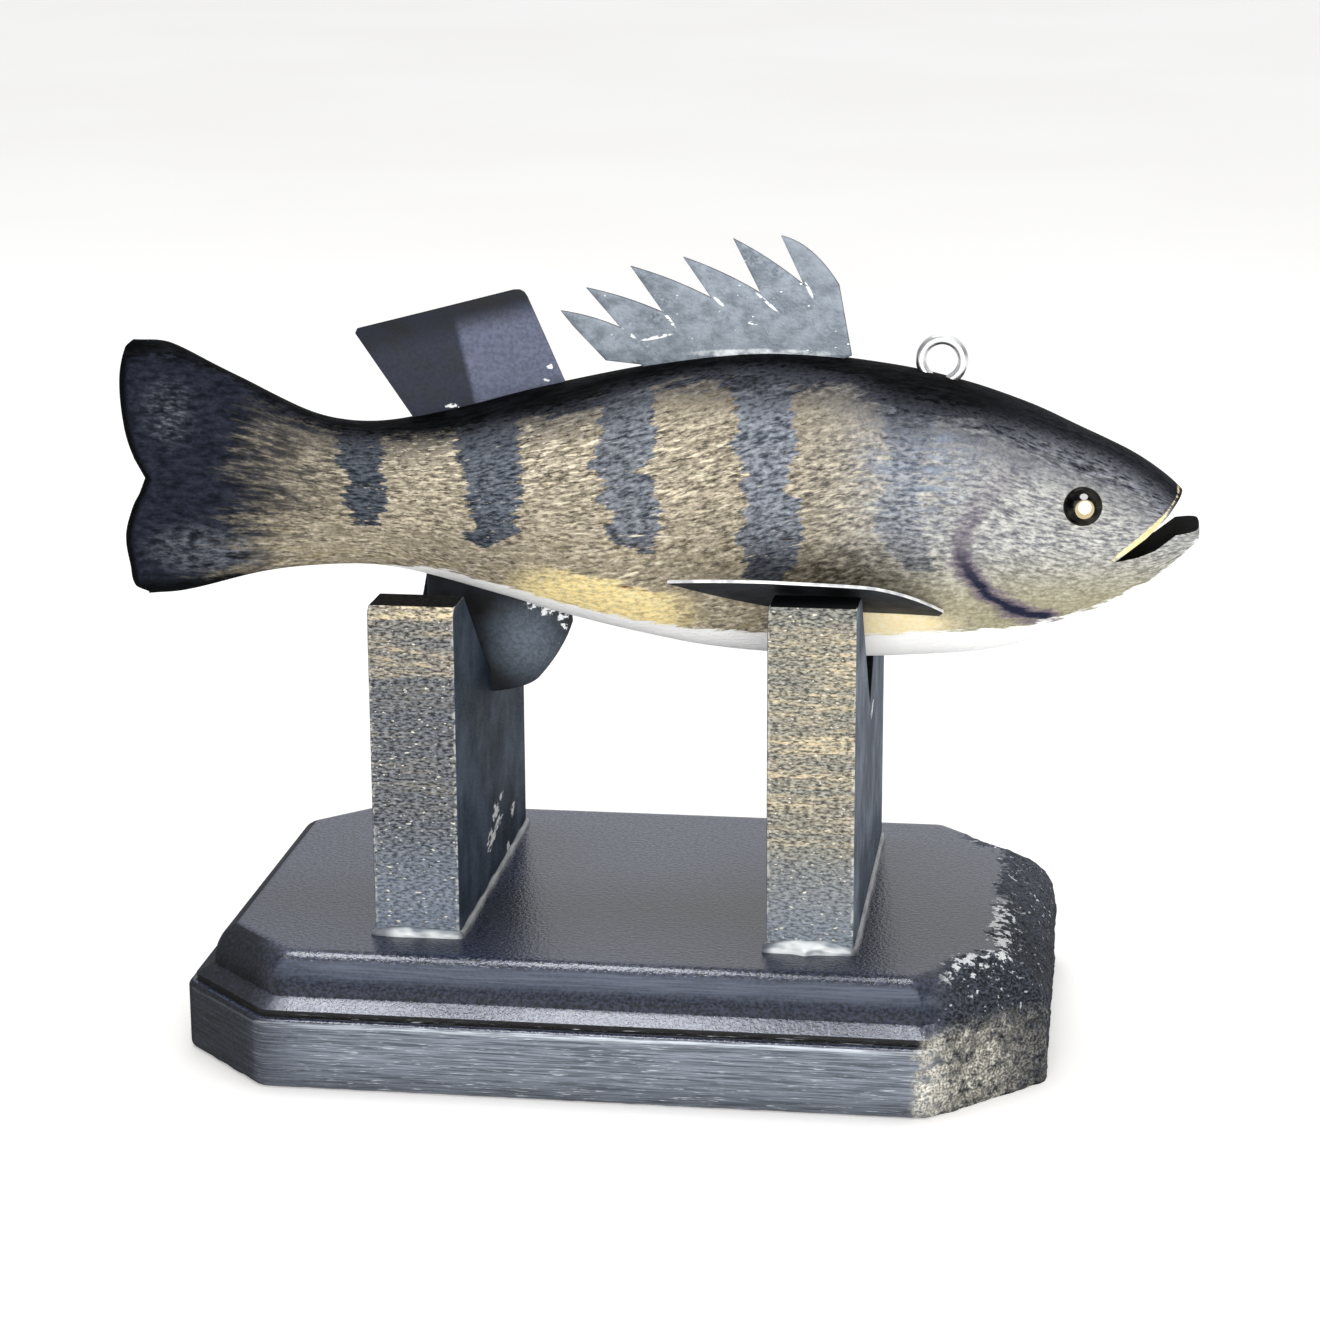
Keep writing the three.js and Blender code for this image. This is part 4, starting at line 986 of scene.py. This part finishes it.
# Inset and height up the routed edge: foot round, wall, arris, quirk, slope and the round under the top
def routedProfile():
    p = plaque
    quarter = np.linspace(0, math.pi / 2, 9)
    bend = np.linspace(0, math.pi / 2, 18)
    slope = np.linspace(0, 1, 8)
    slopeIn = p["arris"] + p["landWidth"]
    slopeLow = p["land"] + p["quirk"]
    roundIn = slopeIn + p["slopeWidth"]
    roundLow = slopeLow + p["slopeHeight"]
    roundHeight = p["thickness"] - roundLow
    topIn = roundIn + p["roundWidth"]
    wall = np.linspace(p["footRound"], p["land"] - p["arris"], 10)
    parts = [
        np.stack([p["footRound"] * (1 - np.sin(quarter)), p["footRound"] * (1 - np.cos(quarter))], -1)[::2],
        np.stack([0 * wall, wall], -1)[1:-1],
        np.stack([p["arris"] * (1 - np.cos(quarter)), p["land"] - p["arris"] * (1 - np.sin(quarter))], -1),
        [[slopeIn - 0.1, p["land"] + 0.02], [slopeIn, p["land"] + 0.15], [slopeIn, slopeLow - 0.15]],
        np.stack([slopeIn + p["slopeWidth"] * slope, slopeLow + p["slopeHeight"] * slope], -1),
        np.stack([roundIn + p["roundWidth"] * (1 - np.cos(bend)),
                  roundLow + roundHeight * np.sin(bend)], -1)[1:],
        [[topIn + k, p["thickness"]] for k in (1, 2.5, 5)],
    ]
    return np.concatenate(parts)


# The board's eight sides as runs along x and y, from the nose end round, and how many steps each takes
longSide = [plaque["length"] - plaque["frontCut"] - plaque["rearCut"], 0]
frontClip, rearClip = ([plaque[cut], plaque[cut]] for cut in ("frontCut", "rearCut"))
noseSide, tailSide = ([0, plaque["width"] - 2 * plaque[cut]] for cut in ("frontCut", "rearCut"))
sideSteps = [max(2, round(np.linalg.norm(side) / plaque["spacing"])) for side in (
    noseSide, frontClip, longSide, rearClip, tailSide, rearClip, longSide, frontClip)]


# Points evenly round the clipped rectangle drawn in by inset, each corner an arc of its own radius
def clippedRing(inset, radius):
    x, y = plaque["length"] / 2 - inset, plaque["width"] / 2 - inset
    rear = plaque["rearCut"] - inset * (2 - math.sqrt(2))
    front = plaque["frontCut"] - inset * (2 - math.sqrt(2))
    corners = np.array([[x, -y + front], [x, y - front], [x - front, y], [-x + rear, y],
                        [-x, y - rear], [-x, -y + rear], [-x + rear, -y], [x - front, -y]])
    tangent = radius * math.tan(math.pi / 8)
    starts = corners + unit(np.roll(corners, 1, 0) - corners) * tangent
    ends = corners + unit(np.roll(corners, -1, 0) - corners) * tangent
    t = np.linspace(0, 1, 7)[:, None]
    points = []
    for start, corner, end, stop, steps in zip(starts, corners, ends, np.roll(starts, -1, 0), sideSteps):
        points.append(start * (1 - t) ** 2 + corner * 2 * t * (1 - t) + end * t ** 2)
        run = np.linspace(0, 1, steps + 1)[1:-1, None]
        points.append(end * (1 - run) + stop * run)
    return np.concatenate(points)


# The nose end is end grain: the routed edge never got its full depth there and is rough and torn.
# worn goes from 0 on the long sides to 1 at that end.
def makePlaque(finish):
    profile = routedProfile()
    rings = []
    for inset, z in profile:
        share = min(inset / plaque["cornerBlend"], 1)
        radius = plaque["wallCorner"] * (1 - share) + plaque["upperCorner"] * share
        stepped = clippedRing(inset, radius)
        edge = float(np.interp(z, *np.array(plaque["fullEdge"]).T)) if z < plaque["thickness"] else inset
        full = clippedRing(min(inset, edge), radius)
        worn = np.clip((stepped[:, :1] - plaque["tornFrom"]) / plaque["tornOver"], 0, 1)
        rings.append(np.column_stack([stepped + (full - stepped) * worn, np.full(len(stepped), z)]))
    count = len(rings[0])
    points = np.concatenate(rings)
    inset = np.repeat(profile[:, 0], count)
    x, y, z = points.T
    torn = np.clip((x - plaque["tornFrom"]) / plaque["tornOver"], 0, 1) \
        * np.clip(inset + 0.3, 0, 1) * np.clip((plaque["tornInset"] - inset) / 2, 0, 1)
    torn += 1.1 * np.clip((x - plaque["roughFrom"]) / plaque["roughOver"], 0, 1) * (inset < 0.5) * (z > 1)
    outward = unit(np.stack([x / (plaque["length"] / 2), y / (plaque["width"] / 2), 0 * inset], -1))
    rough = ripple(points, 7, 21) + 0.6 * ripple(points, 3.4, 22) + 0.9 * ripple(points, 2.2, 24)
    points = points - outward * (torn * (0.42 + 0.26 * rough).clip(0))[:, None]
    points[:, 2] -= torn * 0.1 * (1.5 + rough).clip(0) * (z > plaque["land"])
    foot = np.clip(1 - points[:, 2] / 1.5, 0, 1) * (points[:, 2] > 0.05)
    points -= outward * (foot * 0.18 * (1 + ripple(points, 5, 23)).clip(0))[:, None]
    piece = makeMesh("plaqueBoard", points, tubeFaces(len(profile), count))
    piece.data.materials.append(finish)
    settleMesh(piece, 50)
    storeField(piece, "fromEdge", inset)
    return piece


# Black enamel brushed on wood: satin, so it mirrors the bright room at a low angle. Brush lines run along
# the sides, and the clipped corner by the nose is rubbed through to brown wood.
def plaqueFinish():
    material, tree, shader, place = newFinish("blackEnamelOnWood", Specular_IOR_Level=0.38)
    x, y, z = addNode(tree, "SeparateXYZ", {}, {0: place}).outputs
    normal = addNode(tree, "NewGeometry", {}, {}).outputs["Normal"]
    _, facingY, facingZ = addNode(tree, "SeparateXYZ", {}, {0: normal}).outputs
    brushed = marks(tree, place, (12, 12, 0.3), 0.34, 0.66, 4.0)
    fine = marks(tree, place, (0.9, 0.9, 0.7), 0.3, 0.7)
    pale = marks(tree, place, (5, 5, 0.22), 0.6, 0.72, 3.0)
    speck = marks(tree, place, (0.65, 0.65, 0.55), 0.38, 0.62, 4.0)
    blotch = marks(tree, place, (8, 8, 5), 0.38, 0.66, 3.0)
    ragged = marks(tree, place, (3, 3, 2.2), 0.3, 0.6, 3.0)
    teeth = marks(tree, place, (2.2, 2.2, 1.6), 0.3, 0.7, 3.0)
    chipped = marks(tree, place, (2.8, 2.8, 1.6), 0.46, 0.51, 3.0)
    wall = layCoats(tree, "444a54", [("828a97", brushed)])
    bare = layCoats(tree, "78756b", [("fffbf0", speck)])
    toSide = addNode(tree, "Math", {"operation": "ABSOLUTE"}, {0: facingY})
    isLong = mask(tree, (toSide, 0.6, 0.8, 0, 1), (x, -0.082, -0.052, 0.15, 1))
    isWall = mask(tree, (facingZ, 0.5, 0.2, 0, 1), (z, 0.017, 0.0155, 0, 1), isLong)
    shaded = mask(tree, (x, -0.066, -0.078, 0, 1), (facingZ, 0.99, 0.95, 0, 1))
    corner = addNode(tree, "Math", {"operation": "SUBTRACT"}, {0: x, 1: y})
    endGrain = mask(tree, (x, 0.069, 0.077, 0, 1))
    inner = raggedEdge(tree, "fromEdge", teeth, 5, 13.0, 12.4)
    torn = mask(tree, endGrain, inner)
    topEdge = mask(tree, raggedEdge(tree, "fromEdge", teeth, 4, 8.6, 9.6), inner)
    colour = layCoats(tree, "0e1018", [
        ("353b4d", fine),
        ("050608", shaded, (fine, 1.0, 0.75)),
        # Paler streaks on the upper part of the round on the long sides: painted sheen
        ("565c69", (z, 0.0215, 0.0245, 0, 1), (z, 0.0279, 0.0272, 0, 1), isLong, (brushed, 0.5, 1.0)),
        (wall, isWall),
        ("23272f", isWall, (z, 0.0075, 0.001, 0, 0.5)),
        # Pale line along the arris of the long sides: painted highlight, with the paint also rubbed pale on
        # that edge
        ("c9d0d9", (z, 0.0139, 0.0147, 0, 1), (z, 0.0156, 0.0154, 0, 1), isLong, (brushed, 0.2, 1.0)),
        # Near-black band in the quirk under the land: painted shade in the groove
        ("020203", (z, 0.0155, 0.0157, 0, 1), (z, 0.0172, 0.017, 0, 1)),
        ("c3c9d1", pale, isWall),
        (layCoats(tree, "0c0e13", [("474d58", speck)]), torn),
        (layCoats(tree, "6b6963", [(bare, (blotch, 0.4, 1.0))]), (corner, 0.1295, 0.1325, 0, 1),
         (z, 0.0205, 0.0145, 0, 1), ragged, (x, 0.094, 0.08, 0.25, 1)),
        ("c4c9cf", marks(tree, place, (1.5, 2.0, 1.2), 0.635, 0.685), endGrain, inner,
         (z, 0.017, 0.019, 0, 1)),
        ("eef0f2", chipped, topEdge, patch(tree, place, (80, -28, 28), (18, 34, 6), 0.6), endGrain),
    ])
    relief = addNode(tree, "Mix", {"data_type": "FLOAT"}, {0: torn, 2: fine, 3: speck})
    height = addNode(tree, "Math", {"operation": "MULTIPLY_ADD"}, {0: torn, 1: 8.6, 2: 1.4})
    relief = addNode(tree, "Math", {"operation": "MULTIPLY"}, {0: relief, 1: height})
    dull = addNode(tree, "Math", {"operation": "MAXIMUM"}, {0: torn, 1: shaded})
    dressShader(tree, shader, colour, dull, (0.24, 0.9), relief, 0.03)
    return material


print("plaque")
board = makePlaque(plaqueFinish())
placePiece(board, "black_painted_wood", "base_plaque")


# Glue squeezed out round each upright's foot: a fillet that swells and thins as it goes round
glue = {"width": 1.0, "height": 1.3, "count": 260, "arc": 9, "squareness": 9, "sunk": 0.6}


# Round the foot: a rounded rectangle; across it: a hollow quarter from the wall down to the board.
# In front the bead climbs by lift and runs out into one drip.
def makeGlue(name, post, seed, lift, drip, finish):
    halfX, halfY = uprights["thickness"] / 2, uprights["depth"] / 2
    count, arc = glue["count"], glue["arc"]
    reach = np.linspace(0, 2 * (2 * halfX + 2 * halfY), count, endpoint=False)
    edges = np.cumsum([2 * halfX, 2 * halfY, 2 * halfX, 2 * halfY])
    side = np.searchsorted(edges, reach, side="right")
    t = reach - np.concatenate([[0], edges])[side]
    foot = np.stack([np.choose(side, [t - halfX, 0 * t + halfX, halfX - t, 0 * t - halfX]),
                     np.choose(side, [0 * t - halfY, t - halfY, 0 * t + halfY, halfY - t])], -1)
    out = np.clip(foot / [halfX, halfY], -1, 1) ** glue["squareness"]
    out /= np.maximum(np.linalg.norm(out, axis=1, keepdims=True), 1e-3)
    wave = ripple(np.column_stack([foot, 0 * t]), 9, seed)
    isFront = foot[:, 1] < -halfY + 0.5
    across = np.abs(foot[:, 0] / halfX)
    swell = 1 + 0.16 * wave + 0.3 * isFront * np.clip(1.3 - across, 0, 1)
    run = swell + drip * np.exp(-((foot[:, 0] + 1) / 1.7) ** 2) * isFront
    climb = swell * (1 + lift * isFront * np.clip(1.2 - across, 0, 1))
    turn = np.linspace(0, math.pi / 2, arc)
    spread = np.concatenate([glue["width"] * np.sin(turn), [-glue["sunk"], -glue["sunk"]]])
    rise = np.concatenate([glue["height"] * np.cos(turn), [0, glue["height"]]])
    flat = foot[:, None] + out[:, None] * (spread[None, :, None] * run[:, None, None])
    z = uprights["foot"] - 0.05 + rise[None] * climb[:, None]
    points = np.concatenate([flat, z[..., None]], -1).reshape(-1, 3) + [post["x"], 0, 0]
    bead = makeMesh(name, points, ringQuads(count, arc + 2, wrap=True))
    bead.data.materials.append(finish)
    settleMesh(bead, 50)
    placePiece(bead, "worn_painted_wood")


# Clear glue gone milky over black paint: glossy. The beads in front are painted pale: a painted highlight
# where they catch the light from above
def glueFinish():
    material, tree, shader, place = newFinish("milkyGlueBead", Specular_IOR_Level=0.7)
    cloudy = marks(tree, place, (9, 9, 3))
    # front marks the pale fronts of the beads: painted highlight
    front = addNode(tree, "Math", {"operation": "ADD"}, {
        0: patch(tree, place, (-41, -42, 28.5), (9.5, 2.5, 4), 0.6),
        1: patch(tree, place, (43.4, -42, 28.5), (10.5, 2.5, 4), 0.7)})
    side = layCoats(tree, "4b4f57", [("7d828a", cloudy)])
    face = layCoats(tree, "7d8792", [("eef3f6", cloudy)])
    dressShader(tree, shader, layCoats(tree, side, [(face, front)]), cloudy, (0.15, 0.3), cloudy, 0.05)
    return material


print("glue")
beadFinish = glueFinish()
makeGlue("rearGlueBead", uprights["rear"], 31, 0.2, 0, beadFinish)
makeGlue("frontGlueBead", uprights["front"], 32, 0.8, 1.1, beadFinish)


# Pale tabletop that runs on behind the object
def makeFloor():
    mesh = bpy.data.meshes.new("paleTabletop")
    mesh.from_pydata([(-20, -20, 0), (20, -20, 0), (20, 20, 0), (-20, 20, 0)], [], [(0, 1, 2, 3)])
    mesh.materials.append(plainFinish("paleTabletop", (400, 400, 400), "f9f8f6", "fdfcfb", (0.8, 0.9), 0.1,
                                      Specular_IOR_Level=0.2, Emission_Strength=0.23))
    table = bpy.data.objects.new("paleTabletop", mesh)
    scene.collection.objects.link(table)


# Soft studio light: a square panel aimed at target, with its side in metres, power in watts and colour.
# Where a group is given, it says what the panel lights.
def addPanel(name, place, target, side, power, tint, group=None):
    lamp = bpy.data.lights.new(name, "AREA")
    lamp.size = side
    lamp.energy = power
    lamp.color = fromHex(tint)[:3]
    panel = bpy.data.objects.new(name, lamp)
    panel.location = place
    panel.rotation_euler = (Vector(target) - Vector(place)).to_track_quat("-Z", "Y").to_euler()
    panel.visible_camera = False
    panel.light_linking.receiver_collection = group
    scene.collection.objects.link(panel)
    return panel


# Camera at the photograph's viewpoint, in millimetres and degrees; lens for a square 36 mm sensor
view = {"place": (105.5, -711.7, 274.2), "yaw": 8.01, "pitch": 15.03, "roll": -0.26, "lens": 90.26}


def addCamera():
    yaw, pitch, roll = (math.radians(view[k]) for k in ("yaw", "pitch", "roll"))
    ahead = Vector((-math.sin(yaw) * math.cos(pitch), math.cos(yaw) * math.cos(pitch), -math.sin(pitch)))
    right = Vector((math.cos(yaw), math.sin(yaw), 0))
    above = right.cross(ahead)
    rolledRight = right * math.cos(roll) + above * math.sin(roll)
    rolledUp = above * math.cos(roll) - right * math.sin(roll)
    turned = Matrix([rolledRight, rolledUp, -ahead]).transposed()
    lens = bpy.data.cameras.new("photoView")
    lens.lens = view["lens"]
    lens.sensor_width = 36
    lens.clip_end = 100
    camera = bpy.data.objects.new("photoView", lens)
    camera.matrix_world = Matrix.Translation(Vector(view["place"]) * mm) @ turned.to_4x4()
    scene.collection.objects.link(camera)
    scene.camera = camera


# Room light: bright overhead and behind the object, dimmer at the sides and in front
def lightRoom():
    world = bpy.data.worlds.new("paleRoom")
    world.use_nodes = True
    tree = world.node_tree
    way = addNode(tree, "TexCoord", {}, {}).outputs["Generated"]
    x, y, z = addNode(tree, "SeparateXYZ", {}, {0: way}).outputs
    bright = addNode(tree, "Math", {"operation": "MAXIMUM"}, {
        0: mask(tree, (z, 0.35, 0.75, 0, 1)), 1: mask(tree, (y, 0.3, 0.85, 0, 1))})
    light = layCoats(tree, "8a8b8e", [("ffffff", bright, (x, -0.5, -0.12, 0.2, 1))])
    tree.links.new(light.outputs[2], tree.nodes["Background"].inputs["Color"])
    tree.nodes["Background"].inputs["Strength"].default_value = 0.98
    scene.world = world


def groupOf(name, *pieces):
    group = bpy.data.collections.new(name)
    for piece in pieces:
        group.objects.link(piece)
    return group


# A lamp where the camera sees it mirrored in the right eye, as a bright spot in the glass
def addEyeLamp(name, lift, side, power, tint, group):
    outward, place = eyeFrame(-1)
    toCamera = (Vector(view["place"]) - place).normalized()
    mirrored = 2 * outward.dot(toCamera) * outward - toCamera
    lampPlace = (place + (mirrored + Vector((0, 0, lift))).normalized() * 100) * mm
    addPanel(name, lampPlace, place * mm, side, power, tint, group).data.shape = "DISK"


print("stage")
makeFloor()
eyesOnly = groupOf("eyesOnly", rightEye, leftEye)
plaqueOnly = groupOf("plaqueOnly", board)
allButPlaque = groupOf("allButPlaque", board)
allButPlaque.collection_objects[0].light_linking.link_state = "EXCLUDE"
addPanel("overheadPanel", (-0.15, 0.3, 1.25), (0, 0, 0.1), 0.7, 4, "ffffff")
frontLight = {"place": (0.15, -1.3, 0.3), "target": (0, 0, 0.1), "side": 0.9, "power": 13.5,
              "tint": "fffdf8"}
addPanel("frontPanel", **frontLight, group=allButPlaque)
# The satin board takes the front light but not its mirror image, which would whiten its top from behind
addPanel("plaquePanel", **frontLight, group=plaqueOnly).visible_glossy = False
ceilingLamp = addPanel("ceilingLamp", (-0.18, 0.22, 1.22), (-0.1, 0, 0.02), 0.75, 18, "f2f6ff", plaqueOnly)
ceilingLamp.data.shape = "RECTANGLE"
ceilingLamp.data.size_y = 0.35
addEyeLamp("eyeSpotLamp", -0.02, 0.077, 3, "fff8ea", eyesOnly)
addEyeLamp("eyeGlowLamp", -0.16, 0.135, 3.4, "f3dfae", eyesOnly)
addEyeLamp("eyeUpperLamp", 0.85, 0.05, 0.45, "ffffff", eyesOnly)
lightRoom()
scene.view_settings.view_transform = "Standard"
addCamera()
